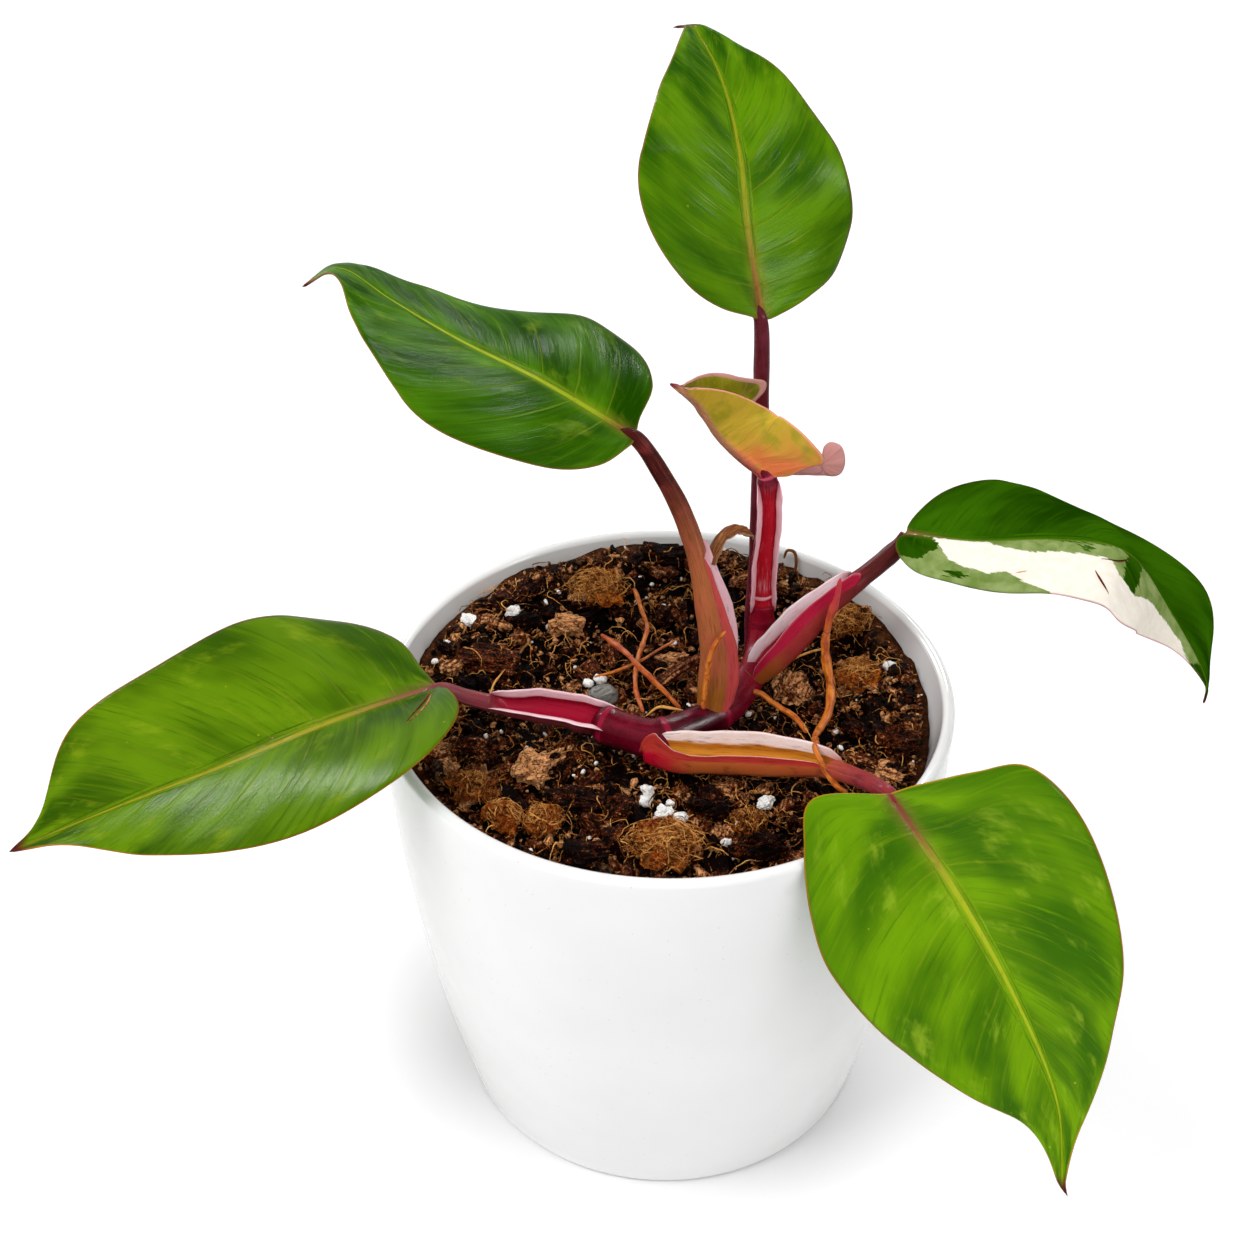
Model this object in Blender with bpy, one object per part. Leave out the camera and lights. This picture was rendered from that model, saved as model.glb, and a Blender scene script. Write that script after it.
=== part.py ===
"""A philodendron in a white glazed pot: the pot, its potting mix, a creeping stem, six leaves on
sheathed stalks, aerial roots, and the bark, coir and perlite that lie on the mix.

The origin is the centre of the pot's foot, +Z is up, and the front of the plant faces -Y.
All design sizes are in millimetres; make_object turns them into Blender's metres.
"""

import math
import random
from dataclasses import dataclass

import bmesh
import bpy
import numpy as np

# ---------------------------------------------------------------- driving dimensions (mm)
MM = 0.001
GAP = 0.35  # clearance between neighbours that touch on the real plant

POT_HEIGHT = 117.3
POT_RIM_RADIUS = 67.5
POT_FOOT_RADIUS = 51.1
POT_SIDE_POWER = 1.8  # how soon the side leans in towards the foot
POT_LIP = 3.0
POT_WALL = 5.2
POT_FLOOR = 7.0
POT_CORNER = 6.0  # rounding where the inside wall meets the floor
POT_FOOT_ROUND = 2.0
POT_SEGMENTS = 48

HEADSPACE = 10.0  # from the rim down to the potting mix
MIX_TOP = POT_HEIGHT - HEADSPACE
MIX_HOLLOWS = 0.6  # depth of the hollows in the top of the mix
MIX_RINGS = 8

BLADE_THICKNESS = 0.7
BLADE_ROWS = 12
BLADE_COLUMNS = 4  # cells in each half of a blade

STALK_STATIONS = 18
SHEATH_CLASP = 60.0  # degrees past level that each wing of a sheath wraps upward
SHEATH_EDGE = 0.75  # thickness of a wing's edge
SHEATH_BOTTOM = 0.75  # extra thickness under the channel, in stalk radii
SHEATH_END = 0.12  # share of the stalk over which the sheath closes

LUMP_SQUARENESS = 0.7  # 1 is an ellipsoid, and less is more like a block
LUMP_ROUGHNESS = 0.14
LUMP_FLAT = 0.7  # how far below its middle a lump is cut flat, in half heights

PAINTS = {  # colour, roughness
    "glaze": ((0.86, 0.86, 0.85), 0.15),
    "mix": ((0.045, 0.022, 0.012), 0.95),
    "bark": ((0.16, 0.075, 0.035), 0.9),
    "coir": ((0.30, 0.13, 0.04), 0.95),
    "perlite": ((0.80, 0.77, 0.70), 0.8),
    "stone": ((0.16, 0.14, 0.12), 0.7),
    "stem": ((0.085, 0.012, 0.022), 0.35),
    "stalk": ((0.20, 0.045, 0.045), 0.4),
    "leaf": ((0.075, 0.22, 0.012), 0.3),
    "young_leaf": ((0.42, 0.26, 0.035), 0.35),
    "root": ((0.50, 0.16, 0.04), 0.6),
    "husk": ((0.30, 0.13, 0.04), 0.8),
}


# ---------------------------------------------------------------- shared geometry
def smooth_path(points, count):
    """Points at even steps along a smooth curve (Catmull-Rom) through the given points."""
    knots = np.array(points, float)
    padded = np.vstack([2 * knots[0] - knots[1], knots, 2 * knots[-1] - knots[-2]])
    t = np.linspace(0, 1, 16, endpoint=False)[:, None]
    curve = []
    for a, b, c, d in zip(padded, padded[1:], padded[2:], padded[3:]):
        bend = (2 * a - 5 * b + 4 * c - d) * t**2
        swing = (3 * b - a - 3 * c + d) * t**3
        curve.append(0.5 * (2 * b + (c - a) * t + bend + swing))
    curve = np.vstack(curve + [knots[-1:]])
    travelled = np.append(0, np.cumsum(np.linalg.norm(np.diff(curve, axis=0), axis=1)))
    wanted = np.linspace(0, travelled[-1], count)
    return np.column_stack([np.interp(wanted, travelled, axis) for axis in curve.T])


def unit(vectors):
    return vectors / np.linalg.norm(vectors, axis=-1, keepdims=True)


def spread(values, count):
    """A short list of values, read evenly at count places."""
    return np.interp(np.linspace(0, 1, count), np.linspace(0, 1, len(values)), values)


def frames_along(path, up):
    """Tangent, sideways and upward directions at each point of a path."""
    tangent = unit(np.gradient(path, axis=0))
    upward = unit(np.array(up) - (tangent @ np.array(up))[:, None] * tangent)
    return tangent, np.cross(upward, tangent), upward


def paint(name):
    material = bpy.data.materials.get(name)
    if material is None:
        colour, roughness = PAINTS[name]
        material = bpy.data.materials.new(name)
        material.use_nodes = True
        shader = material.node_tree.nodes["Principled BSDF"]
        shader.inputs["Base Color"].default_value = (*colour, 1.0)
        shader.inputs["Roughness"].default_value = roughness
        material.diffuse_color = (*colour, 1.0)
    return material


def make_object(name, points, faces, paint_name, origin=(0, 0, 0), parent=None):
    """An object from points in mm, with its own origin and its faces turned outward."""
    mesh = bpy.data.meshes.new(name)
    local = (np.array(points, float) - np.array(origin, float)) * MM
    mesh.from_pydata(local.tolist(), [], faces)
    shape = bmesh.new()
    shape.from_mesh(mesh)
    bmesh.ops.recalc_face_normals(shape, faces=shape.faces)
    shape.to_mesh(mesh)
    shape.free()
    mesh.shade_smooth()
    mesh.set_sharp_from_angle(angle=math.radians(50))
    mesh.materials.append(paint(paint_name))
    made = bpy.data.objects.new(name, mesh)
    made.location = [value * MM for value in origin]
    made.parent = parent
    bpy.context.collection.objects.link(made)
    return made


def loft(rings):
    """Points and faces of a closed solid through rings of equal size, capped at both ends."""
    size = len(rings[0])
    points = np.vstack(rings)
    faces = []
    for ring in range(len(rings) - 1):
        for corner in range(size):
            after = (corner + 1) % size
            low, high = ring * size, (ring + 1) * size
            faces.append([low + corner, low + after, high + after, high + corner])
    faces.append(list(range(size))[::-1])
    faces.append(list(range(len(points) - size, len(points))))
    return points, faces


def turned(profile, segments):
    """Points and faces of a closed solid of revolution. The profile's two ends lie on the axis."""
    points = [(0, 0, profile[0][1])]
    for radius, height in profile[1:-1]:
        for step in range(segments):
            angle = 2 * math.pi * step / segments
            points.append((radius * math.cos(angle), radius * math.sin(angle), height))
    points.append((0, 0, profile[-1][1]))
    rings = len(profile) - 2
    faces = []
    for step in range(segments):
        after = (step + 1) % segments
        faces.append([0, 1 + after, 1 + step])
        for ring in range(rings - 1):
            low, high = 1 + ring * segments, 1 + (ring + 1) * segments
            faces.append([low + step, low + after, high + after, high + step])
        last = 1 + (rings - 1) * segments
        faces.append([last + step, last + after, len(points) - 1])
    return points, faces


# ---------------------------------------------------------------- the pot and what fills it
def pot_radius(height):
    """Outside radius of the pot: nearly upright at the rim, and leaning in towards the foot."""
    lean = (1 - height / POT_HEIGHT) ** POT_SIDE_POWER
    return POT_FOOT_RADIUS + (POT_RIM_RADIUS - POT_FOOT_RADIUS) * (1 - lean)


def inner_radius(height):
    """Inside radius: the wall is thinnest at the lip."""
    below_rim = (POT_HEIGHT - height) / HEADSPACE
    wall = POT_LIP + (POT_WALL - POT_LIP) * min(1.0, below_rim)
    return pot_radius(height) - wall


def quarter(radius, height, size, start, steps):
    """Points on a quarter circle about (radius, height), from the start angle onwards."""
    angles = [start + math.pi / 2 * step / steps for step in range(steps + 1)]
    return [(radius + size * math.cos(a), height + size * math.sin(a)) for a in angles]


def inside_profile(top, clearance):
    """The pot's inside from a height down to the floor's centre, moved inward by a clearance."""
    corner_height = POT_FLOOR + POT_CORNER
    wall = [(inner_radius(h) - clearance, h) for h in np.linspace(top, corner_height, 9)]
    corner_centre = inner_radius(corner_height) - POT_CORNER
    size = POT_CORNER - clearance
    corner = quarter(corner_centre, corner_height, size, -math.pi / 2, 3)[::-1]
    return wall + corner[1:] + [(0, POT_FLOOR + clearance)]


def make_pot():
    half_lip = POT_LIP / 2
    rim_low = POT_HEIGHT - half_lip
    foot_centre = pot_radius(POT_FOOT_ROUND) - POT_FOOT_ROUND
    foot = quarter(foot_centre, POT_FOOT_ROUND, POT_FOOT_ROUND, -math.pi / 2, 3)
    side = [(pot_radius(h), h) for h in np.linspace(POT_FOOT_ROUND, rim_low, 11)[1:-1]]
    lip_centre = pot_radius(rim_low) - half_lip
    lip = quarter(lip_centre, rim_low, half_lip, 0, 3)
    lip += quarter(lip_centre, rim_low, half_lip, math.pi / 2, 3)[1:]
    profile = [(0, 0)] + foot + side + lip + inside_profile(rim_low, 0)[1:]
    return make_object("pot", *turned(profile, POT_SEGMENTS), "glaze")


def mix_height(x, y):
    """Top of the potting mix: never above MIX_TOP, with shallow hollows."""
    hollow = 0.5 + 0.5 * math.sin(x / 6.0 + 1.0) * math.sin(y / 5.0 + 0.4)
    return MIX_TOP - MIX_HOLLOWS * hollow


def make_potting_mix(parent):
    side = inside_profile(MIX_TOP, GAP)[::-1]
    rings = np.linspace(side[-1][0], 0, MIX_RINGS + 1)[1:]
    points, faces = turned(side + [(radius, MIX_TOP) for radius in rings], POT_SEGMENTS)
    shaped = [(x, y, mix_height(x, y) if z == MIX_TOP else z) for x, y, z in points]
    return make_object("potting_mix", shaped, faces, "mix", parent=parent)


# ---------------------------------------------------------------- leaf blades
@dataclass
class Leaf:
    """A blade. Its edges are (along the midrib, out from it) in mm, from the stalk to the tip."""

    midrib: list  # from the stalk to the tip
    face: tuple  # the way the upper side looks where the stalk joins
    twist: tuple  # degrees that the blade turns about its midrib, from the stalk to the tip
    left_fold: tuple  # degrees that the left half rises from flat, from the stalk to the tip
    right_fold: tuple
    arch: float  # degrees that each half curves down again for every 10 mm outward
    left_edge: list
    right_edge: list


LEAVES = {
    "leaf_left": Leaf(
        midrib=[
            (-53.5, -6, 122), (-77.5, -17, 120), (-101.5, -25.5, 114), (-125.5, -31.5, 107),
            (-149.5, -37.5, 99),
        ],
        face=(-0.46, -0.07, 0.89),
        twist=(0, 16, 30),
        left_fold=(19, 22),
        right_fold=(15, 23),
        arch=5,
        left_edge=[(-1, 8), (1.5, 21), (13, 33), (28, 36), (50.5, 30.5), (72, 18.5), (91, 5.5)],
        right_edge=[(1, 7), (3, 20), (12, 32.5), (30, 37.5), (49.5, 34), (81, 22), (95, 5)],
    ),
    "leaf_front": Leaf(
        midrib=[
            (46, -53, 130), (61.5, -62.5, 109), (74.5, -72.5, 88), (84.5, -81.5, 66),
            (87, -90, 44.5),
        ],
        face=(-0.39, -0.74, 0.54),
        twist=(0, 3, 5),
        left_fold=(17, 17),
        right_fold=(26, 25),
        arch=5,
        left_edge=[
            (0.5, 7.5), (3.5, 19.5), (8, 30), (24, 33), (49.5, 27), (67.5, 16.5), (86.5, 4.5),
        ],
        right_edge=[
            (-9, 14), (-1, 21.5), (13, 29), (27.5, 32), (49, 28.5), (69.5, 18.5), (88.5, 5.5),
        ],
    ),
    "leaf_upper": Leaf(
        midrib=[
            (-7.5, 8, 180.5), (-28, 14.5, 191), (-47, 23, 197), (-62, 30, 203),
            (-73.5, 34.5, 208.5), (-82.5, 34.5, 204),
        ],
        face=(-0.02, -0.08, 1),
        twist=(0, -9, -19),
        left_fold=(7, 2),
        right_fold=(10, 1),
        arch=5,
        left_edge=[
            (0.5, 5), (4, 15), (13.5, 25.5), (26.5, 30.5), (42, 29), (59.5, 19.5), (74.5, 7.5),
        ],
        right_edge=[
            (1.5, 5.5), (3, 17), (11, 27.5), (26.5, 30.5), (39.5, 24.5), (55, 14), (76.5, 7),
        ],
    ),
    "leaf_rear": Leaf(
        midrib=[
            (20.5, 29.5, 198.5), (17.5, 39.5, 215), (15.5, 51.5, 229.5), (11.5, 64, 241.5),
            (4.5, 78, 250),
        ],
        face=(0.43, -0.26, 0.86),
        twist=(0, 15, 14),
        left_fold=(15, 12),
        right_fold=(10, 10),
        arch=5,
        left_edge=[(0.5, 3), (3.5, 13), (10, 22.5), (20, 27), (36.5, 25), (52, 18), (64, 9)],
        right_edge=[
            (0, 3.5), (3.5, 13.5), (9, 23), (20, 26.5), (36.5, 24), (50.5, 16.5), (63.5, 8),
        ],
    ),
    "leaf_variegated": Leaf(
        midrib=[
            (56, 19.5, 148), (71.5, 12, 150.5), (88.5, 9, 153), (105.5, 8.5, 150), (118, 8.5, 133),
            (127.5, 2.5, 118), (129, 4.5, 108.5),
        ],
        face=(-0.21, -0.15, 0.97),
        twist=(0, 8, 6),
        left_fold=(-7, -17),
        right_fold=(-11, -15),
        arch=4,
        left_edge=[(-1, 3), (1.5, 17.5), (11, 32), (35, 36.5), (52, 32.5), (76.5, 21.5), (89, 7.5)],
        right_edge=[(-2, 2), (-1, 6), (10.5, 12), (38, 16), (54.5, 20.5), (70, 12.5), (88.5, 1)],
    ),
    "leaf_new": Leaf(
        midrib=[(22.5, 21.5, 162.1), (12, 23, 171.5), (6, 19.5, 182.5), (0, 13, 191.5)],
        face=(0.72, -0.23, 0.65),
        twist=(0, -3, 6),
        left_fold=(64, 70, 66, 30),
        right_fold=(70, 76, 72, 30),
        arch=6,
        left_edge=[
            (-8.5, 13.5), (-3, 17), (0, 19), (21.5, 17.5), (26.5, 13.5), (34.5, 8), (38.5, 1.5),
        ],
        right_edge=[
            (-11.5, 15.5), (-2, 17), (-1, 15.5), (23, 15), (27.5, 13), (35.5, 8), (37.5, 2.5),
        ],
    ),
}


def leaf_frames(leaf, count=61):
    """The midrib as points, with the directions along it, to its left and out of its upper side."""
    midrib = smooth_path(leaf.midrib, count)
    along, left, out = frames_along(midrib, leaf.face)
    turn = np.radians(spread(leaf.twist, count))[:, None]
    turned_out = out * np.cos(turn) + left * np.sin(turn)
    turned_left = left * np.cos(turn) - out * np.sin(turn)
    return midrib, along, turned_left, turned_out


def place_on_leaf(leaf, frames, along_mm, across_mm, side):
    """A point of the flat blade put in space. side is 1 on the left half and -1 on the right."""
    midrib, tangent, left, out = frames
    length = np.linalg.norm(np.diff(midrib, axis=0), axis=1).sum()
    share = np.clip(along_mm / length, 0, 1)
    stations = np.linspace(0, 1, len(midrib))
    base, ahead, sideways, upward = (
        np.array([np.interp(share, stations, axis) for axis in table.T])
        for table in (midrib, tangent, left, out)
    )
    fold = leaf.left_fold if side > 0 else leaf.right_fold
    rise = math.radians(np.interp(share, np.linspace(0, 1, len(fold)), fold))
    bend = math.radians(leaf.arch) / 10
    reach = (math.sin(rise) - math.sin(rise - bend * across_mm)) / bend
    lift = (math.cos(rise - bend * across_mm) - math.cos(rise)) / bend
    beyond = along_mm - share * length
    return base + ahead * beyond + sideways * side * reach + upward * lift


def blade_points(leaf, rows, columns):
    """Rows of points from the left edge over the midrib to the right edge."""
    frames = leaf_frames(leaf)
    length = np.linalg.norm(np.diff(frames[0], axis=0), axis=1).sum()
    edges = [
        smooth_path([(0, 0)] + edge + [(length, 0)], rows + 1)
        for edge in (leaf.left_edge, leaf.right_edge)
    ]
    grid = []
    for row in range(1, rows):
        start = length * row / rows
        line = []
        for side, edge in ((1, edges[0]), (-1, edges[1])):
            end_along, end_across = edge[row]
            half = []
            for share in np.linspace(0, 1, columns + 1):
                along = start + (end_along - start) * share
                half.append(place_on_leaf(leaf, frames, along, end_across * share, side))
            line += half[::-1] if side > 0 else half[1:]
        grid.append(line)
    return grid, frames[0][0], frames[0][-1]


def make_blade(name, leaf, paint_name, parent):
    """The blade as a thin sheet, made solid on both sides of its middle surface."""
    grid, base, tip = blade_points(leaf, BLADE_ROWS, BLADE_COLUMNS)
    width = len(grid[0])
    points = [point for line in grid for point in line] + [base, tip]
    base_index, tip_index = len(points) - 2, len(points) - 1
    last = (len(grid) - 1) * width
    faces = []
    for column in range(width - 1):
        faces.append([base_index, column + 1, column])
        faces.append([last + column, last + column + 1, tip_index])
        for row in range(len(grid) - 1):
            low = row * width + column
            faces.append([low, low + 1, low + width + 1, low + width])
    blade = make_object(name, points, faces, paint_name, leaf.midrib[0], parent)
    skin = blade.modifiers.new("thickness", "SOLIDIFY")
    skin.thickness = BLADE_THICKNESS * MM
    skin.offset = 0
    return blade


# ---------------------------------------------------------------- stem, stalks and roots
@dataclass
class Stalk:
    """A leaf stalk, round at the top and sheathed below, where it is an open channel."""

    route: list
    radius: tuple  # from the base to the blade
    opens: tuple = (0, 0, 1)  # the way the sheath's channel opens
    sheath: float = 0.0  # share of the length that is sheathed
    flare: float = 0.0  # how far the sheath's wings stand out past the stalk


STALKS = {
    "stalk_left": Stalk(
        route=[
            (-18.8, -6.4, 112.8), (-23, -5.3, 113.2), (-30, -4.8, 114.2), (-38, -5.5, 115.8),
            (-46, -5.6, 118.2), (-52.7, -6, 121),
        ],
        radius=(3.3, 3.3, 3.0, 2.3, 2.0, 1.9),
        opens=(0, -0.4, 0.9),
        sheath=0.55,
        flare=1.6,
    ),
    "stalk_front": Stalk(
        route=[
            (1.5, -20.4, 112.9), (8, -21.4, 113), (14, -22, 113.3), (24, -24.3, 114.4),
            (34, -28.3, 116.6), (41, -38.5, 122), (45.4, -50.6, 128.6),
        ],
        radius=(3.3, 3.8, 3.8, 3.3, 2.7, 2.5, 2.4),
        opens=(0, -0.15, 1),
        sheath=0.6,
        flare=1.6,
    ),
    "stalk_upper": Stalk(
        route=[
            (10.8, -3.3, 117.5), (11.2, -0.8, 127.3), (9.4, 1, 138.8), (6.7, 3, 151.4),
            (3.1, 5, 162.3), (-1.2, 6.5, 171), (-7.1, 8, 180.1),
        ],
        radius=(3.3, 3.2, 3.0, 2.7, 2.4, 2.3, 2.1),
        opens=(0.9, 0.45, 0),
        sheath=0.55,
        flare=2.2,
    ),
    "stalk_rear": Stalk(
        route=[
            (22.3, 29.2, 107.9), (22, 29.6, 120), (22.4, 30.7, 131.5), (22.1, 31.6, 149),
            (21.7, 31.2, 166), (21.3, 30.4, 182.5), (20.6, 29.4, 197.7),
        ],
        radius=(2.4, 2.3, 2.2, 2.1, 2.0, 2.0, 1.9),
    ),
    "stalk_right": Stalk(
        route=[
            (24.9, 9.6, 118), (29.4, 11.6, 121.8), (36, 14, 128.5), (43.4, 16, 134.7),
            (50.3, 18, 140.6), (54.8, 19.1, 146.1),
        ],
        radius=(3.0, 3.4, 3.2, 2.6, 2.4, 2.2),
        opens=(-0.6, -0.25, 0.75),
        sheath=0.55,
        flare=3.0,
    ),
    "stalk_new": Stalk(
        route=[(23.4, 23.5, 125), (23.3, 23.5, 137.3), (23.8, 23, 149.1), (23, 21.9, 161.6)],
        radius=(2.8, 2.8, 2.7, 2.4),
        opens=(0, -1, 0),
        sheath=0.9,
        flare=0.8,
    ),
}

STEM_ROUTE = [
    (-17, -6.6, 112.3), (-10, -10.6, 112.3), (-3, -13.2, 112.4), (4, -9.8, 112.3),
    (10.5, -5.2, 112.2), (15.6, 0.4, 112.2), (19.4, 8, 112.4), (22.2, 16, 113.4),
    (23.3, 22, 117.6), (23.4, 23.5, 124.3),
]
STEM_RADIUS = (4.5, 4.4, 4.6, 4.3, 4.2, 3.9, 3.6, 3.4, 3.0, 2.9)

ROOTS = {  # name: (radius from start to end, route)
    "root_hanging": (
        (1.0, 0.9, 0.8),
        [
            (40.6, 8.6, 133.2), (38.8, 9.8, 129), (37.4, 8.6, 124), (38, 6.4, 119.5),
            (39, 3.4, 115.5), (38.5, -1, 111.5), (36.5, -5, 109.4), (34.2, -8.6, 108.7),
        ],
    ),
    "root_right": (
        (0.7, 0.65),
        [
            (23.6, 3.2, 109), (26, 2.4, 110), (28.4, 0.6, 110.4), (31.2, -3, 109.8),
            (33, -6.6, 108.5),
        ],
    ),
    "root_front": (
        (0.7, 0.6),
        [
            (35, -11.2, 108.6), (34.4, -17, 114), (33.4, -24, 120.2), (33, -29.6, 121.2),
            (32.6, -34.6, 118.6), (34.4, -37.4, 113), (37.5, -37.4, 108.5),
        ],
    ),
    "root_long": (
        (0.6, 0.55),
        [
            (-16, 32, 108.4), (-13, 24.5, 111.6), (-9.5, 18.5, 113), (-6.5, 13.5, 112.8),
            (-1.5, 8, 110.8), (3.4, 2.6, 108.3),
        ],
    ),
    "root_hooked": (
        (0.55, 0.5),
        [
            (-9, 47.5, 108.4), (-7.5, 45, 112), (-6, 37.5, 112), (-4.5, 31.5, 111),
            (-5.5, 25.5, 110.4), (-7.2, 18, 110), (-7.4, 9.5, 109), (-5.5, 1.5, 108.2),
        ],
    ),
    "root_upper": (
        (0.5, 0.55),
        [
            (15, -5.6, 127.4), (12.6, -6.4, 123), (10.6, -8.4, 119.4), (9, -10.2, 117.6),
        ],
    ),
    "root_thread": (
        (0.5, 0.4),
        [
            (-17.5, 14.5, 108.2), (-12, 16, 109), (-6.8, 20, 108.3), (-2, 24.4, 108.8),
            (2.6, 29, 108.2),
        ],
    ),
    "dry_tendril": (
        (0.6, 0.5),
        [
            (31.5, 54.6, 117), (33, 54.6, 119.5), (34, 53, 116), (33, 50, 112),
            (31.5, 46.5, 108.2),
        ],
    ),
}

BARK_STRIP_ROUTE = [(-4.6, 7.6, 109), (1, 14.6, 109), (7, 19.6, 109.1), (13.4, 23.6, 109)]
HUSK_ROUTE = [
    (11.6, 3.4, 150.6), (13.6, 8, 154.6), (16, 15, 156.4), (18.6, 22, 153.4), (19.8, 27.2, 148.4),
]


def round_ring(centre, sideways, upward, radius, sides=8):
    angles = 2 * math.pi * np.arange(sides)[:, None] / sides
    return centre + radius * (np.cos(angles) * sideways + np.sin(angles) * upward)


def make_tube(name, route, radii, paint_name, parent, sides=8, step=3.0, up=(0.13, 0.21, 1)):
    """A round, tapered solid along a smooth route."""
    length = np.linalg.norm(np.diff(np.array(route, float), axis=0), axis=1).sum()
    count = max(5, round(length / step))
    path = smooth_path(route, count)
    _, sideways, upward = frames_along(path, up)
    radius = spread(radii, count)
    rings = [round_ring(*parts, sides) for parts in zip(path, sideways, upward, radius)]
    return make_object(name, *loft(rings), paint_name, route[0], parent)


def sheath_amount(share, sheath):
    """1 where the stalk is a full open channel, falling to 0 where it is round."""
    if sheath == 0:
        return 0.0
    return float(np.clip((sheath - share) / SHEATH_END, 0, 1))


def stalk_ring(centre, sideways, upward, radius, opened, flare):
    """A cross-section: round when opened is 0, and a clasping channel when it is 1."""
    clasp = math.radians(SHEATH_CLASP)

    def at(angle, distance):
        return centre + distance * (math.cos(angle) * sideways + math.sin(angle) * upward)

    def wall_angle(u):
        return -math.pi / 2 + u * (math.pi / 2 + clasp)

    def wall_radius(u):
        return radius + opened * flare * abs(u) ** 3

    outer = [at(wall_angle(u), wall_radius(u)) for u in np.linspace(-1, 1, 11)]
    inner = []
    for u in np.linspace(0.9, -0.9, 6):
        over_the_top = at(math.pi / 2 - u * (math.pi / 2 - clasp), radius)
        wall = SHEATH_EDGE + SHEATH_BOTTOM * radius * (1 - u * u)
        channel = at(wall_angle(u), radius + flare * abs(u) ** 3 - wall)
        inner.append(over_the_top * (1 - opened) + channel * opened)
    return np.array(outer + inner)


def make_stalk(name, stalk, parent):
    path = smooth_path(stalk.route, STALK_STATIONS)
    _, sideways, upward = frames_along(path, stalk.opens)
    radius = spread(stalk.radius, STALK_STATIONS)
    rings = []
    for index in range(STALK_STATIONS):
        opened = sheath_amount(index / (STALK_STATIONS - 1), stalk.sheath)
        place = (path[index], sideways[index], upward[index])
        rings.append(stalk_ring(*place, radius[index], opened, stalk.flare))
    return make_object(name, *loft(rings), "stalk", stalk.route[0], parent)


def make_strip(name, route, width, thickness, paint_name, parent, up):
    """A flat strip with a rectangular cross-section, narrower at its ends."""
    count = 9
    path = smooth_path(route, count)
    _, sideways, upward = frames_along(path, up)
    rings = []
    for index in range(count):
        taper = 0.55 + 0.45 * math.sin(math.pi * index / (count - 1))
        side = sideways[index] * width / 2 * taper
        lift = upward[index] * thickness / 2
        rings.append(path[index] + np.array([-side - lift, side - lift, side + lift, -side + lift]))
    return make_object(name, *loft(rings), paint_name, route[0], parent)


# ---------------------------------------------------------------- what lies on the mix
@dataclass
class Lump:
    """A piece of bark, coir, stone or perlite: its place, its size and its turn in degrees."""

    x: float
    y: float
    length: float
    width: float
    height: float
    turn: float
    paint: str


LUMPS = {
    "bark_tan": Lump(-31, -20.5, 11.5, 9, 6, 20, "bark"),
    "bark_left": Lump(-45, -28.5, 9.5, 8, 5, -20, "bark"),
    "coir_clump_left": Lump(-37, -36.5, 8.5, 6, 4.5, -25, "coir"),
    "coir_clump_mid": Lump(-28, -38, 8, 7, 5, 0, "coir"),
    "bark_long": Lump(-21, -30, 13, 6, 4.5, 0, "bark"),
    "bark_round": Lump(-11, -32.5, 6, 6, 5, 0, "bark"),
    "coir_block": Lump(-1, -46, 14, 11, 7, 0, "coir"),
    "bark_edge": Lump(-18, -49, 12, 6, 4.5, 12, "bark"),
    "bark_peak": Lump(9, -31.5, 9.5, 8, 6, 0, "bark"),
    "bark_dark": Lump(20, -46, 13, 7, 5, 5, "bark"),
    "bark_red": Lump(17.5, -37.8, 7.5, 6, 4.5, 0, "bark"),
    "bark_far_left": Lump(-45, -14, 12, 7, 4.5, 0, "bark"),
    "bark_back_left": Lump(-46, 18, 15, 8, 5, -10, "bark"),
    "grey_stone": Lump(-15.5, 7.6, 7.5, 6, 4.5, 30, "stone"),
    "bark_pale": Lump(-25, 33, 8.5, 7, 5, 15, "bark"),
    "coir_tuft": Lump(-20, 49, 12, 11, 9.5, 0, "coir"),
    "bark_rear": Lump(1, 55, 13, 7, 6, 0, "bark"),
    "bark_rear_left": Lump(-34, 44, 11, 6, 4.5, 40, "bark"),
    "bark_grey": Lump(31, 9.4, 7.5, 9, 5, 10, "bark"),
    "bark_right": Lump(53.5, -12.5, 9.5, 9, 5, 20, "bark"),
    "coir_right": Lump(46.5, 12, 9, 7, 5, 0, "coir"),
    "bark_tan_right": Lump(50, -25, 6, 4, 3.5, -30, "bark"),
    "bark_right_rear": Lump(45.5, 30, 10, 8, 5, 35, "bark"),
    "perlite_front": Lump(22, -30.8, 2.8, 2.6, 2.4, 10, "perlite"),
    "perlite_centre": Lump(-1.5, -34.6, 3.4, 3, 3, 40, "perlite"),
    "perlite_near_stem": Lump(-5, -26.4, 2.6, 2.4, 2.2, 0, "perlite"),
    "perlite_left": Lump(-49, 31, 3.6, 3, 2.6, 20, "perlite"),
    "perlite_rear": Lump(-38, 35.4, 3.4, 3, 2.6, 0, "perlite"),
}


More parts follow.
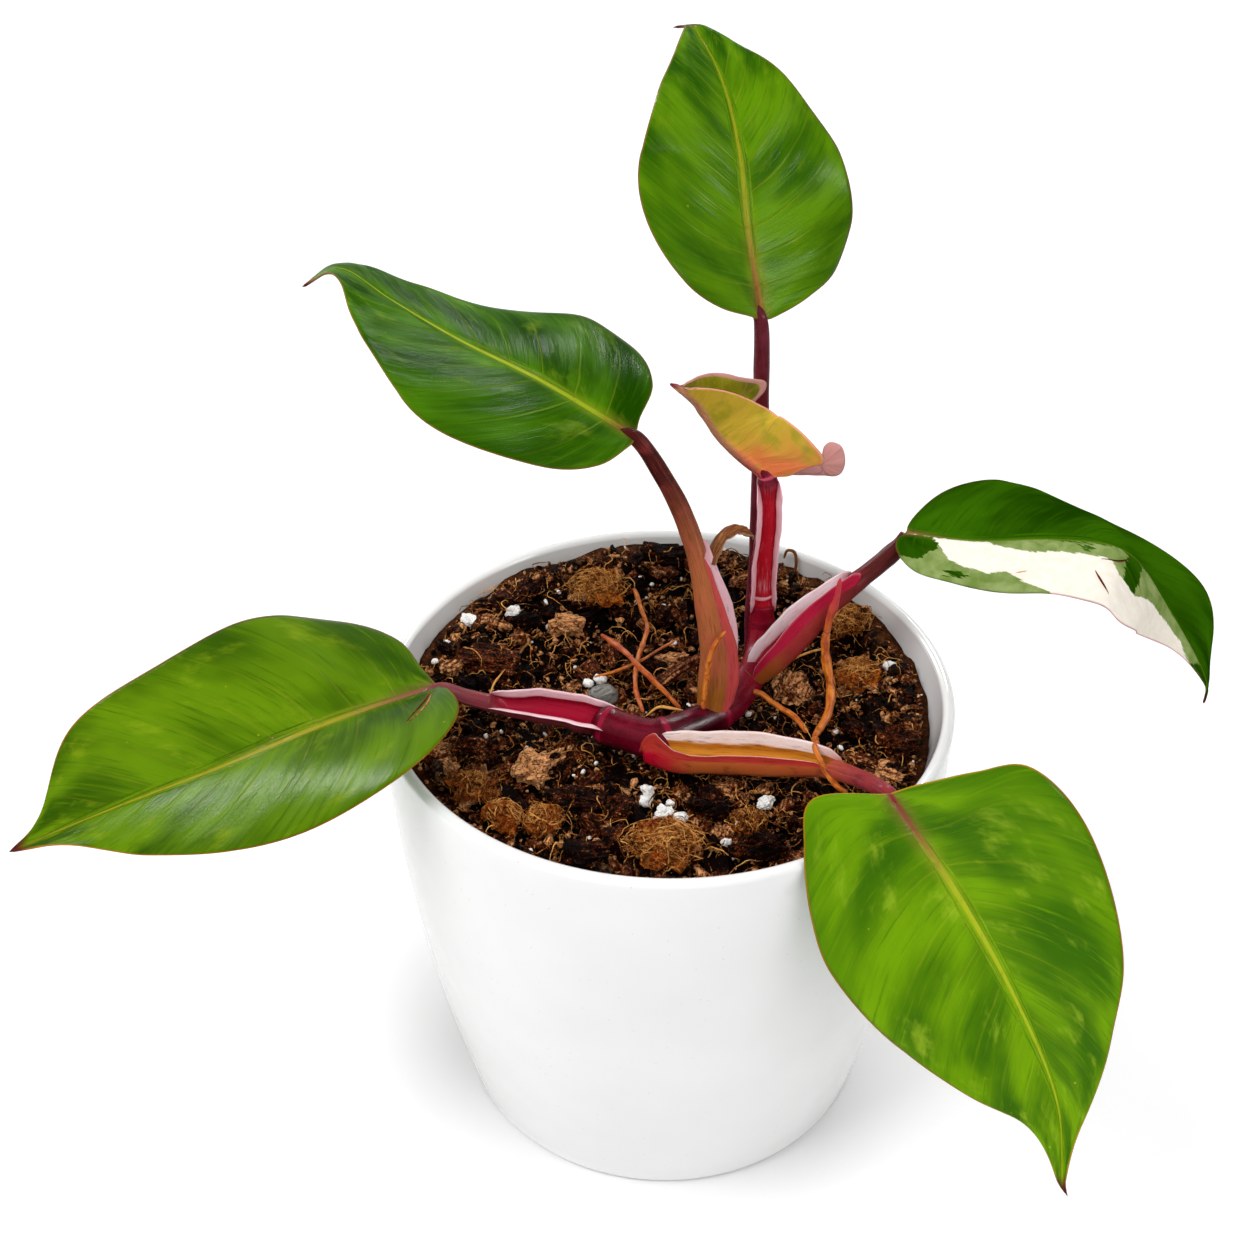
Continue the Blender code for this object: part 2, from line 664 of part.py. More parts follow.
def make_lump(name, lump, parent):
    """An irregular lump with a flat underside, standing just clear of the mix."""
    shape = bmesh.new()
    bmesh.ops.create_icosphere(shape, subdivisions=2, radius=1)
    chance = random.Random(name)
    half = np.array([lump.length / 2, lump.width / 2, lump.height / (1 + LUMP_FLAT)]) * MM
    for vertex in shape.verts:
        squared = [math.copysign(abs(value) ** LUMP_SQUARENESS, value) for value in vertex.co]
        block = np.array(squared) * chance.uniform(1 - LUMP_ROUGHNESS, 1)
        block[2] = max(block[2], -LUMP_FLAT)
        vertex.co = block * half
    low = min(vertex.co.z for vertex in shape.verts)
    mesh = bpy.data.meshes.new(name)
    shape.to_mesh(mesh)
    shape.free()
    mesh.shade_smooth()
    mesh.set_sharp_from_angle(angle=math.radians(35))
    mesh.materials.append(paint(lump.paint))
    made = bpy.data.objects.new(name, mesh)
    made.location = (lump.x * MM, lump.y * MM, (MIX_TOP + GAP) * MM - low)
    made.rotation_euler = (0, 0, math.radians(lump.turn))
    made.parent = parent
    bpy.context.collection.objects.link(made)
    return made


def clear_scene():
    for existing in list(bpy.data.objects):
        bpy.data.objects.remove(existing, do_unlink=True)


def main():
    clear_scene()
    pot = make_pot()
    make_potting_mix(pot)
    plant = bpy.data.objects.new("plant", None)
    plant.parent = pot
    bpy.context.collection.objects.link(plant)
    make_tube("creeping_stem", STEM_ROUTE, STEM_RADIUS, "stem", plant, sides=12)
    for name, stalk in STALKS.items():
        make_stalk(name, stalk, plant)
    for name, leaf in LEAVES.items():
        make_blade(name, leaf, "young_leaf" if name == "leaf_new" else "leaf", plant)
    for name, (radii, route) in ROOTS.items():
        make_tube(name, route, radii, "root", plant)
    make_strip("dry_husk", HUSK_ROUTE, 3.0, 0.8, "husk", plant, up=(-0.4, 0, 1))
    make_strip("bark_strip", BARK_STRIP_ROUTE, 3.0, 2.4, "bark", plant, up=(0, 0, 1))
    for name, lump in LUMPS.items():
        make_lump(name, lump, plant)


main()
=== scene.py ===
# %% [markdown]
# # A young philodendron in a white glazed pot
#
# The plant creeps: one maroon stem lies on the potting mix, and a leaf stands on a long stalk at each
# of its joints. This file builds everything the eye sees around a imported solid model, which already
# fixes where each piece is and how big it is. Lengths are in millimetres, as measured with a ruler,
# except those of the lamps and the floor, in metres. +Z is up, and the plant's front faces -Y.

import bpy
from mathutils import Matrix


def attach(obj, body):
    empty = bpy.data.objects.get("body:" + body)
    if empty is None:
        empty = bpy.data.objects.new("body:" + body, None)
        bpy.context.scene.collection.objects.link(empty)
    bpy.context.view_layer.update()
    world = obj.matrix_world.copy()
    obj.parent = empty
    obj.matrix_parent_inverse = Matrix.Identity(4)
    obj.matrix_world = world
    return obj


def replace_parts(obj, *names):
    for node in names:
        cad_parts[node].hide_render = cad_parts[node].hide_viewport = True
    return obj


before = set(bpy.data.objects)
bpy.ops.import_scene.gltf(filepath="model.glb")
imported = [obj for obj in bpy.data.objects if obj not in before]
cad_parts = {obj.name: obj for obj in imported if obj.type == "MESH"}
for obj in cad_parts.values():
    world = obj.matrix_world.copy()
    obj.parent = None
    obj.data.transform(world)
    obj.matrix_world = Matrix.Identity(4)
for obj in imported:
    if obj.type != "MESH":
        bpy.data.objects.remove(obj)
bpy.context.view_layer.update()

# %% Modules and the unit
import math
from dataclasses import dataclass

import bmesh
import bpy
import numpy as np
from mathutils import Vector, noise

MM = 0.001
BODY = "root"  # the plant rests in its pot, so everything is one body


# %% [markdown]
# ## The camera
#
# The rim of a pot is an ellipse whose flatness depends on how high the eye is. The camera stands a
# little left of the pot's axis, about 56 cm away, and looks down by 36 degrees. A 58 mm lens on a 36 mm
# film back keeps the near leaves from growing too large.


# %% Camera
def make_camera(place, look_down, lens):
    data = bpy.data.cameras.new("camera")
    data.lens = lens
    data.sensor_width = 36
    data.clip_start = 0.01
    camera = bpy.data.objects.new("camera", data)
    camera.location = Vector(place) * MM
    camera.rotation_euler = (math.radians(90 - look_down), 0, 0)
    bpy.context.collection.objects.link(camera)
    bpy.context.scene.camera = camera
    return camera


camera = make_camera(place=(-9.5, -377.1, 412.1), look_down=36.34, lens=58.2)
print("camera:", [round(v, 3) for v in camera.location], "metres, lens", round(camera.data.lens, 1))


# %% [markdown]
# ## Building shader trees with few words
#
# Every finish here is made of nodes. A line for each node and one more for each link would hide the
# idea behind the finish. So these short helpers add a node, set or link its inputs, and give back its
# output socket, and a material reads like a formula.


# %% Node helpers
def colour(hex_code):
    """A screen colour such as "3f7d1c" as the linear light values that Blender uses."""
    channels = [int(hex_code[i : i + 2], 16) / 255 for i in (0, 2, 4)]
    linear = [c / 12.92 if c <= 0.04045 else ((c + 0.055) / 1.055) ** 2.4 for c in channels]
    return (*linear, 1.0)


class Shade:
    """A node tree that is being built. Each method adds one node and returns its output socket."""

    def __init__(self, tree, end, material=None):
        self.tree, self.end, self.material = tree, end, material

    def put(self, value, socket):
        """Links a socket, or sets it to a number, a vector or a screen colour."""
        if isinstance(value, bpy.types.NodeSocket):
            self.tree.links.new(value, socket)
        else:
            socket.default_value = colour(value) if isinstance(value, str) else value

    def finish(self, **sockets):
        """Feeds the last node. A space in a socket's name is written as an underscore."""
        for label, value in sockets.items():
            self.put(value, self.end.inputs[label.replace("_", " ")])
        return self.material

    def surface(self, colour, roughness, relief, depth, strength):
        """Finishes a material with a colour, a roughness and a relief whose depth is in millimetres."""
        inputs = {"Height": relief, "Distance": depth * MM, "Strength": strength}
        normal = self.node("ShaderNodeBump", inputs).outputs[0]
        return self.finish(Base_Color=colour, Roughness=roughness, Normal=normal)

    def node(self, kind, inputs=(), **settings):
        made = self.tree.nodes.new(kind)
        for name, value in settings.items():
            setattr(made, name, value)
        for name, value in dict(inputs).items():
            self.put(value, made.inputs[name])
        return made

    def attribute(self, name):
        """The three numbers stored on the mesh under this name."""
        stored = self.node("ShaderNodeAttribute", attribute_name=name).outputs["Vector"]
        return tuple(self.node("ShaderNodeSeparateXYZ", {0: stored}).outputs)

    def math(self, operation, *values, clamp=False):
        inputs = dict(enumerate(values))
        return self.node("ShaderNodeMath", inputs, operation=operation, use_clamp=clamp).outputs[0]

    def times(self, a, b, plus=None):
        return self.math("MULTIPLY", a, b) if plus is None else self.math("MULTIPLY_ADD", a, b, plus)

    def stir(self, value, source, strength):
        """The value, moved up and down by a source that wavers around a half."""
        return self.times(self.math("SUBTRACT", source, 0.5), strength, value)

    def step(self, value, low, high, to_low=0.0, to_high=1.0):
        """Smooth change from to_low to to_high as the value goes from low to high."""
        ends = {"Value": value, "From Min": low, "From Max": high, "To Min": to_low, "To Max": to_high}
        return self.node("ShaderNodeMapRange", ends, interpolation_type="SMOOTHSTEP").outputs[0]

    def vector(self, x, y, z=0.0):
        return self.node("ShaderNodeCombineXYZ", {0: x, 1: y, 2: z}).outputs[0]

    def moved(self, vector, x, y, z):
        inputs = {0: vector, 1: self.vector(x, y, z)}
        return self.node("ShaderNodeVectorMath", inputs, operation="ADD").outputs[0]

    def noise(self, vector=None, scale=1.0, detail=3.0, roughness=0.5, distortion=0.0):
        """Cloudy noise, read in millimetres when no vector is given."""
        inputs = {"Vector": self.place() if vector is None else vector, "Scale": scale, "Detail": detail}
        inputs |= {"Roughness": roughness, "Distortion": distortion}
        return self.node("ShaderNodeTexNoise", inputs).outputs[0]

    def cells(self, vector, scale, feature="F1"):
        """Distances to the cell middles, or with the feature DISTANCE_TO_EDGE to the cell walls."""
        made = self.node("ShaderNodeTexVoronoi", {"Vector": vector, "Scale": scale}, feature=feature)
        return made.outputs["Distance"]

    def mix(self, factor, a, b, blend="MIX"):
        inputs = {0: factor, 6: a, 7: b}
        return self.node("ShaderNodeMix", inputs, data_type="RGBA", blend_type=blend).outputs[2]

    def ramp(self, factor, *stops):
        """A colour read from (place, colour) stops."""
        made = self.node("ShaderNodeValToRGB", {0: factor})
        elements = made.color_ramp.elements
        while len(elements) < len(stops):
            elements.new(0.5)
        for element, (place, shown) in zip(elements, stops):
            element.position = place
            element.color = colour(shown) if isinstance(shown, str) else shown
        return made.outputs[0]

    def place(self):
        """Where the point is, in millimetres from the pot's foot."""
        position = self.node("ShaderNodeNewGeometry").outputs["Position"]
        return self.node("ShaderNodeVectorMath", {0: position, "Scale": 1 / MM}, operation="SCALE").outputs[0]

    def use(self, group, **inputs):
        """Places a node group. A space in a socket's name is written as an underscore."""
        inputs = {name.replace("_", " "): value for name, value in inputs.items()}
        return self.node("ShaderNodeGroup", inputs, node_tree=group).outputs


def new_group(name, **inputs):
    """An empty node group with these inputs, which puts out a colour, a height and a gloss."""
    group = bpy.data.node_groups.new(name, "ShaderNodeTree")
    for label, default in inputs.items():
        kind = "NodeSocketColor" if isinstance(default, str) else "NodeSocketFloat"
        label = label.replace("_", " ")
        socket = group.interface.new_socket(label, in_out="INPUT", socket_type=kind)
        socket.default_value = colour(default) if isinstance(default, str) else default
    for label, kind in (("Colour", "Color"), ("Height", "Float"), ("Gloss", "Float")):
        group.interface.new_socket(label, in_out="OUTPUT", socket_type="NodeSocket" + kind)
    given = group.nodes.new("NodeGroupInput").outputs
    return Shade(group, group.nodes.new("NodeGroupOutput")), given


def new_material(name, **settings):
    """A material with a Principled shader. Settings are the shader's own plain values."""
    material = bpy.data.materials.new(name)
    material.use_nodes = True
    shade = Shade(material.node_tree, material.node_tree.nodes["Principled BSDF"], material)
    shade.finish(**settings)
    return shade


# %% [markdown]
# ## Light, floor and background
#
# Products on white are lit by large soft lamps: a broad one high on the left gives the leaves their
# form, a weaker one on the right opens the shadows, and one behind draws light along the edges. Three
# small ones, seen only in shiny skins, lay the gleams on the leaves. The floor is almost white, and less
# so round the pot's foot, where a soft shadow is painted into it. The background is white to the eye and
# in reflections, but gives less light than that, so that the lamps shape the object.


# %% Lamps and world
PLANT_MIDDLE = Vector((0, 0, 0.13))


def soft_lamp(name, place, size, power, gleam=False):
    """A square lamp that looks at the middle of the plant. A gleam lamp is seen only in shiny skins."""
    data = bpy.data.lights.new(name, "AREA")
    data.size = size
    data.energy = power
    lamp = bpy.data.objects.new(name, data)
    lamp.location = place
    lamp.rotation_euler = (PLANT_MIDDLE - Vector(place)).to_track_quat("-Z", "Y").to_euler()
    lamp.visible_diffuse = not gleam
    lamp.visible_glossy = gleam
    bpy.context.collection.objects.link(lamp)


soft_lamp("key_lamp", (-0.7, -0.4, 1.15), 0.7, 10.5)
soft_lamp("fill_lamp", (0.7, -0.85, 1.0), 0.9, 5)
soft_lamp("back_lamp", (0.35, 1.1, 1.0), 0.8, 5)
soft_lamp("gleam_left", (-0.92, 1.0, 0.8), 0.18, 12, gleam=True)
soft_lamp("gleam_back", (0.34, 1.2, 1.1), 0.18, 8, gleam=True)
soft_lamp("gleam_right", (1.05, -0.45, 0.95), 0.3, 18, gleam=True)


def seen_directly(shade):
    """1 for rays from the camera, and for those that a shiny or a clear surface sends on."""
    rays = shade.node("ShaderNodeLightPath").outputs
    shiny = shade.math("MAXIMUM", rays["Is Glossy Ray"], rays["Is Transmission Ray"])
    return shade.math("MAXIMUM", rays["Is Camera Ray"], shiny)


def make_world(diffuse_strength):
    world = bpy.data.worlds.new("studio")
    world.use_nodes = True
    shade = Shade(world.node_tree, world.node_tree.nodes["Background"])
    strength = shade.step(seen_directly(shade), 0, 1, diffuse_strength, 1)
    shade.finish(Color="ffffff", Strength=strength)
    bpy.context.scene.world = world


make_world(diffuse_strength=0.5)
bpy.context.scene.view_settings.view_transform = "Standard"
print("lamps:", len(bpy.data.lights))


# %% Floor
def make_floor(half_size):
    """A wide plain sheet, lifted to white for the eye only; less at the pot's foot, as a painted shadow.

    Seen from below it is clear, so that the underside of the pot can be looked at."""
    mesh = bpy.data.meshes.new("floor")
    corners = [(x * half_size, y * half_size, 0) for x, y in ((-1, -1), (1, -1), (1, 1), (-1, 1))]
    mesh.from_pydata(corners, [], [(0, 1, 2, 3)])
    floor = bpy.data.objects.new("floor", mesh)
    bpy.context.collection.objects.link(floor)
    grey = (0.82, 0.82, 0.82, 1)
    shade = new_material("floor_white", Base_Color=grey, Roughness=0.9, Specular_IOR_Level=0)
    distance = shade.node("ShaderNodeVectorMath", {0: shade.place()}, operation="LENGTH").outputs["Value"]
    # near lowers the lift round the pot's foot, which paints a soft shadow there. far lifts the distant floor
    # to an even white.
    near, far = shade.step(distance, 50, 90, 0.08, 0.29), shade.step(distance, 300, 2000, 0, 0.32)
    lift = shade.math("ADD", near, far)
    shade.finish(Emission_Color="ffffff", Emission_Strength=shade.times(seen_directly(shade), lift))
    clear = shade.node("ShaderNodeBsdfTransparent").outputs[0]
    underside = shade.node("ShaderNodeNewGeometry").outputs["Backfacing"]
    seen = shade.node("ShaderNodeMixShader", {0: underside, 1: shade.end.outputs[0], 2: clear}).outputs[0]
    shade.put(seen, shade.tree.nodes["Material Output"].inputs["Surface"])
    mesh.materials.append(shade.material)


make_floor(half_size=6)


# %% [markdown]
# ## From points to pieces
#
# Each piece starts as arrays of points in millimetres, the handiest form for shapes that follow a
# formula. One function turns them into a mesh, stores the named numbers that the finish will read (such
# as how far along a leaf a point lies), and ties the piece to the plant's body.


# %% Mesh helpers
def make_piece(name, points, faces, materials, slot, stored=None, face_material=None, crease=None):
    """A mesh piece from points in mm. stored holds named (n, 3) arrays, read by the materials."""
    mesh = bpy.data.meshes.new(name)
    mesh.from_pydata((np.asarray(points, float) * MM).tolist(), [], [list(map(int, f)) for f in faces])
    for label, values in (stored or {}).items():
        layer = mesh.attributes.new(label, "FLOAT_VECTOR", "POINT")
        layer.data.foreach_set("vector", np.asarray(values, np.float32).ravel())
    for material in materials:
        mesh.materials.append(material)
    if face_material is not None:
        mesh.polygons.foreach_set("material_index", np.asarray(face_material, np.int32))
    mesh.shade_smooth()
    if crease is not None:
        mesh.set_sharp_from_angle(angle=math.radians(crease))
    mesh.validate()
    piece = bpy.data.objects.new(name, mesh)
    bpy.context.collection.objects.link(piece)
    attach(piece, BODY)
    return piece


def smooth_path(points, count):
    """Points at even steps along a smooth curve (Catmull-Rom) through the given points."""
    knots = np.array(points, float)
    padded = np.vstack([2 * knots[0] - knots[1], knots, 2 * knots[-1] - knots[-2]])
    t = np.linspace(0, 1, 16, endpoint=False)[:, None]
    curve = []
    for a, b, c, d in zip(padded, padded[1:], padded[2:], padded[3:]):
        bend = (2 * a - 5 * b + 4 * c - d) * t**2
        swing = (3 * b - a - 3 * c + d) * t**3
        curve.append(0.5 * (2 * b + (c - a) * t + bend + swing))
    curve = np.vstack(curve + [knots[-1:]])
    travelled = np.append(0, np.cumsum(np.linalg.norm(np.diff(curve, axis=0), axis=1)))
    wanted = np.linspace(0, travelled[-1], count)
    return np.column_stack([np.interp(wanted, travelled, axis) for axis in curve.T])


def shares(count):
    """Even steps from 0 to 1."""
    return np.linspace(0, 1, count)


def path_length(path):
    return np.linalg.norm(np.diff(path, axis=0), axis=1).sum()


def unit(vectors):
    return vectors / np.maximum(np.linalg.norm(vectors, axis=-1, keepdims=True), 1e-12)


def spread(values, count):
    """A short list of values, read smoothly at count even places."""
    if len(values) < 3:
        return np.interp(shares(count), shares(len(values)), values)
    fine = smooth_path(list(zip(shares(len(values)), values)), 400)
    return np.interp(shares(count), fine[:, 0], fine[:, 1])


def bell(values, centre, width):
    """A smooth bump of height 1 around a centre."""
    return np.exp(-(((values - centre) / width) ** 2))


def frames_along(path, up):
    """Directions at each point of a path: along it, to its side, and up from it."""
    tangent = unit(np.gradient(path, axis=0))
    upward = unit(np.array(up, float) - (tangent @ np.array(up, float))[:, None] * tangent)
    return tangent, np.cross(upward, tangent), upward


def rings_along(path, sideways, upward, across, rise):
    """Rings of points that lie this far to the side of a path and this far above it."""
    return path[:, None] + across[..., None] * sideways[:, None] + rise[..., None] * upward[:, None]


def ring_angles(sides):
    return 2 * np.pi * np.arange(sides) / sides


def ring_faces(stations, sides):
    """Four-sided faces between neighbouring rings of points."""
    faces = []
    for low in range(0, (stations - 1) * sides, sides):
        for side in range(sides):
            after = (side + 1) % sides
            faces.append((low + side, low + after, low + sides + after, low + sides + side))
    return faces


def with_centres(rings):
    """The points or stored numbers of a tube's rings, with those of its two cap centres added."""
    return np.vstack([rings.reshape(-1, 3), rings[0].mean(axis=0), rings[-1].mean(axis=0)])


def tube_faces(stations, sides):
    """Faces of a closed tube: its side, and a fan from each cap centre to the ring around it."""
    faces = ring_faces(stations, sides)
    centre, top = stations * sides, (stations - 1) * sides
    for side in range(sides):
        after = (side + 1) % sides
        faces += [(centre, after, side), (centre + 1, top + side, top + after)]
    return faces


def fix_outward(piece):
    """Turns every face outward, as a closed skin needs."""
    skin = bmesh.new()
    skin.from_mesh(piece.data)
    bmesh.ops.recalc_face_normals(skin, faces=skin.faces)
    skin.to_mesh(piece.data)
    skin.free()


def make_tube(name, rings, material, slot, stored, crease=None):
    """A closed tube from (stations, sides, 3) rings, with stored numbers of the same shape."""
    stored = {label: with_centres(table) for label, table in stored.items()}
    faces = tube_faces(*rings.shape[:2])
    piece = make_piece(name, with_centres(rings), faces, [material], slot, stored, crease=crease)
    fix_outward(piece)
    return piece


def wavy(points, scale, seed):
    """Smooth noise from -1 to 1 at each point, with the given size of its waves."""
    shift = Vector((seed * 7.3, seed * 3.1, seed * 5.7))
    return np.array([noise.noise(Vector(p) / scale + shift) for p in np.asarray(points, float)])


# %% [markdown]
# ## The pot
#
# A planter like this is jiggered: clay is pressed into a spinning plaster mould, so it is a body of
# revolution. A Screw modifier would do, but a profile in code keeps the wall, the rounded lip and the
# foot exact. The glaze is glossy white, and the ring that the pot stands on is wiped clean before
# firing and stays bare clay.

# %% Pot profile
POT_HEIGHT = 117.3
RIM_RADIUS = 67.5
FOOT_RADIUS = 51.1
SIDE_POWER = 1.8
LIP = 3.0
WALL = 5.2
FLOOR_INSIDE = 7.0
INSIDE_CORNER = 6.0
FOOT_ROUNDING = 2.0
FOOT_RING = 6.0  # width of the ring that the pot stands on
FOOT_RECESS = 0.8
MIX_TOP = POT_HEIGHT - 10.0
POT_SEGMENTS = 192


def pot_radius(height):
    """Outside radius: nearly upright at the rim, and leaning in towards the foot."""
    lean = (1 - height / POT_HEIGHT) ** SIDE_POWER
    return FOOT_RADIUS + (RIM_RADIUS - FOOT_RADIUS) * (1 - lean)


def inner_radius(height):
    return pot_radius(height) - (LIP + (WALL - LIP) * min(1.0, (POT_HEIGHT - height) / 10))


def arc(centre_radius, centre_height, size, start, end, count):
    angles = np.radians(np.linspace(start, end, count))
    return [(centre_radius + size * math.cos(a), centre_height + size * math.sin(a)) for a in angles]


def pot_profile():
    """Points (radius, height) from the middle of the underside, round the wall, to the inside floor."""
    foot_edge = pot_radius(FOOT_ROUNDING) - FOOT_ROUNDING
    ring = foot_edge - FOOT_RING
    recess = [(0, FOOT_RECESS), (ring - 1.5, FOOT_RECESS), (ring - 0.6, 0.1), (ring, 0)]
    foot = arc(foot_edge, FOOT_ROUNDING, FOOT_ROUNDING, -90, 0, 7)
    lip_height, corner_height = POT_HEIGHT - LIP / 2, FLOOR_INSIDE + INSIDE_CORNER
    side = [(pot_radius(h), h) for h in np.linspace(FOOT_ROUNDING, lip_height, 40)[1:-1]]
    lip = arc(pot_radius(lip_height) - LIP / 2, lip_height, LIP / 2, 0, 180, 15)
    inside = [(inner_radius(h), h) for h in np.linspace(lip_height, corner_height, 24)[1:]]
    corner_radius = inner_radius(corner_height) - INSIDE_CORNER
    floor = arc(corner_radius, corner_height, INSIDE_CORNER, 0, -90, 6)[1:]
    return recess + foot + side + lip + inside + floor + [(0, FLOOR_INSIDE)]


def turned(profile, segments):
    """Points and faces of a solid of revolution whose profile starts and ends on the axis."""
    angles = ring_angles(segments)
    circle = np.column_stack([np.cos(angles), np.sin(angles), 0 * angles])
    rings = np.array([r * circle + (0, 0, h) for r, h in profile[1:-1]])
    return with_centres(rings), tube_faces(*rings.shape[:2])


print("pot's profile:", len(pot_profile()), "points")

# %% Glaze and bare clay
def glaze_material():
    """Thick white glaze: a faint wave from the brush-on coat, a few pin marks, bare clay on the foot."""
    shade = new_material("white_glaze", Coat_Weight=0.35, Coat_Roughness=0.04)
    place = shade.place()
    height = shade.node("ShaderNodeSeparateXYZ", {0: place}).outputs[2]
    cloud = shade.noise(place, scale=0.03, detail=2)
    white = shade.ramp(cloud, (0.3, (0.87, 0.87, 0.868, 1)), (0.7, (0.91, 0.91, 0.908, 1)))
    specks = shade.step(shade.cells(place, 0.35), 0.035, 0.06)
    white = shade.mix(specks, (0.62, 0.61, 0.59, 1), white)
    grit = shade.noise(place, scale=1.6, detail=4)
    clay = shade.ramp(grit, (0.35, "cfc6ba"), (0.65, "e2dbd0"))
    bare = shade.step(height, 0.15, 0.5, 1, 0)
    wave = shade.noise(place, scale=0.07, detail=1)
    relief = shade.math("ADD", wave, shade.times(bare, shade.times(grit, 0.4)))
    roughness = shade.times(bare, 0.6, shade.step(cloud, 0.3, 0.7, 0.10, 0.17))
    return shade.surface(shade.mix(bare, white, clay), roughness, relief, 0.35, 0.5)


pot = make_piece("pot_glazed", *turned(pot_profile(), POT_SEGMENTS), [glaze_material()], "glaze", crease=50)
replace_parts(pot, "pot")
print("pot:", len(pot.data.polygons), "faces, rim", 2 * RIM_RADIUS, "mm across")


# %% [markdown]
# ## The potting mix
#
# The plant grows in an open mix of bark chips, coconut coir and white perlite. A bumpy disc would look
# flat, because the charm of such a mix is its deep dark gaps. So the mix is built as it is poured: an
# uneven bed tinted near-black, which paints the shade deep in the gaps, then hundreds of broken chunks,
# crumbs and fibres on it, each one real geometry. Particles don't survive an export, so the chunks are
# merged into a few meshes.

# %% Bed of the mix
BED_RINGS = 96
BED_SEGMENTS = 230
BED_DEPTH = 3.6  # how far the bed lies below the tops of the chips


def heaped(x, y):
    """How much higher the mix lies towards the wall, most of all behind the plant."""
    distance = math.hypot(x, y)
    reach = min(max((distance - 24) / 32, 0), 1) ** 1.4
    return reach * max(0.0, 4.2 + 3.7 * y / max(distance, 1))


def bed_height(x, y):
    """Height of the dark bed at a place: broad mounds, lumps and fine crumbs."""
    broad = noise.noise(Vector((x / 14, y / 14, 3.1)))
    lumps = noise.noise(Vector((x / 4.5, y / 4.5, 7.7)))
    fine = noise.noise(Vector((x / 1.4, y / 1.4, 1.3)))
    return MIX_TOP - BED_DEPTH + 1.35 * heaped(x, y) + 1.1 * broad + 1.1 * lumps + 0.45 * fine


def make_bed():
    heights = np.linspace(FLOOR_INSIDE + INSIDE_CORNER, MIX_TOP - 3.5, 16)
    wall = [(inner_radius(h) - 0.15, h) for h in heights]
    top = [(r, MIX_TOP) for r in np.linspace(wall[-1][0], 0.6, BED_RINGS)]
    bottom = FLOOR_INSIDE + 0.3
    profile = [(0, bottom), (wall[0][0] - INSIDE_CORNER, bottom)] + wall + top[1:] + [(0, MIX_TOP)]
    points, faces = turned(profile, BED_SEGMENTS)
    upper = points[:, 2] > MIX_TOP - 0.01
    points[upper, 2] = [bed_height(x, y) for x, y in points[upper, :2]]
    edge = upper & (np.hypot(points[:, 0], points[:, 1]) > wall[-1][0] - 0.9)
    for index in np.flatnonzero(edge):
        points[index, :2] *= (inner_radius(points[index, 2]) - 0.15) / math.hypot(*points[index, :2])
    return points, faces


# %% [markdown]
# ## Bark, coir and crumbs
#
# Bark breaks across its layers and splits along them, so a chip is a boxy lump with flats broken off
# and ridges along its grain. The mesh stores each chunk's own coordinates and a random tint, so that
# the streaks of every chip follow that chip, whichever way it lies.


# %% Chunk helper
def unit_ball(level):
    ball = bmesh.new()
    bmesh.ops.create_icosphere(ball, subdivisions=level, radius=1)
    points = np.array([vertex.co[:] for vertex in ball.verts])
    faces = np.array([[vertex.index for vertex in face.verts] for face in ball.faces])
    ball.free()
    return points, faces


BALLS = {level: unit_ball(level) for level in (1, 2, 3, 4)}


def sines(points, chance, size, count=7):
    """Cheap smooth noise: a few plane waves in random directions."""
    waves = unit(chance.normal(size=(count, 3))) / size * chance.uniform(0.6, 1.5, (count, 1)) * 2 * np.pi
    return np.sin(points @ waves.T + chance.uniform(0, 2 * np.pi, count)).mean(axis=1)


SWELLS = ((1.0, 0.9), (0.7, 0.4), (0.5, 0.17))  # strength and wavelength, as shares of the chunk


def chunk(chance, size, level, cuts, rough, boxy, ridges=0):
    """A broken lump in its own coordinates, in mm, with its grain along x."""
    ball = BALLS[level][0]
    shape = np.sign(ball) * np.abs(ball) ** boxy
    for _ in range(cuts):
        flat = unit(chance.normal(size=3))
        beyond = np.maximum(shape @ flat - chance.uniform(0.62, 0.98), 0)
        shape = shape - beyond[:, None] * flat
    half = np.array(size) / 2
    shape = shape * half
    swell = rough * min(size) * sum(part * sines(shape, chance, min(size) * wave) for part, wave in SWELLS)
    if ridges:
        across = shape * (0.12, 1, 1)
        swell = swell + ridges * (sines(across, chance, 1.3) + 0.7 * sines(across, chance, 0.7))
    return shape + swell[:, None] * unit(shape / half)


def turning(yaw, pitch=0.0, roll=0.0):
    """A rotation matrix from angles in radians."""
    cy, sy, cp, sp, cr, sr = (f(a) for a in (yaw, pitch, roll) for f in (math.cos, math.sin))
    about_z = np.array([[cy, -sy, 0], [sy, cy, 0], [0, 0, 1]])
    about_y = np.array([[cp, 0, sp], [0, 1, 0], [-sp, 0, cp]])
    about_x = np.array([[1, 0, 0], [0, cr, -sr], [0, sr, cr]])
    return about_z @ about_y @ about_x


class Heap:
    """Many small shapes gathered into one mesh."""

    def __init__(self):
        self.points, self.faces, self.grain, self.tint, self.total = [], [], [], [], 0

    def add(self, points, faces, grain, tint):
        self.points.append(points)
        self.faces.append(np.asarray(faces) + self.total)
        self.grain.append(grain)
        self.tint.append(np.broadcast_to(np.asarray(tint, float), points.shape))
        self.total += len(points)

    def finish(self, name, material, slot, crease=None):
        stored = {"grain": np.vstack(self.grain), "tint": np.vstack(self.tint)}
        points, faces = np.vstack(self.points), np.vstack(self.faces)
        piece = make_piece(name, points, faces, [material], slot, stored, crease=crease)
        print(f"{name}: {len(piece.data.polygons)} faces")
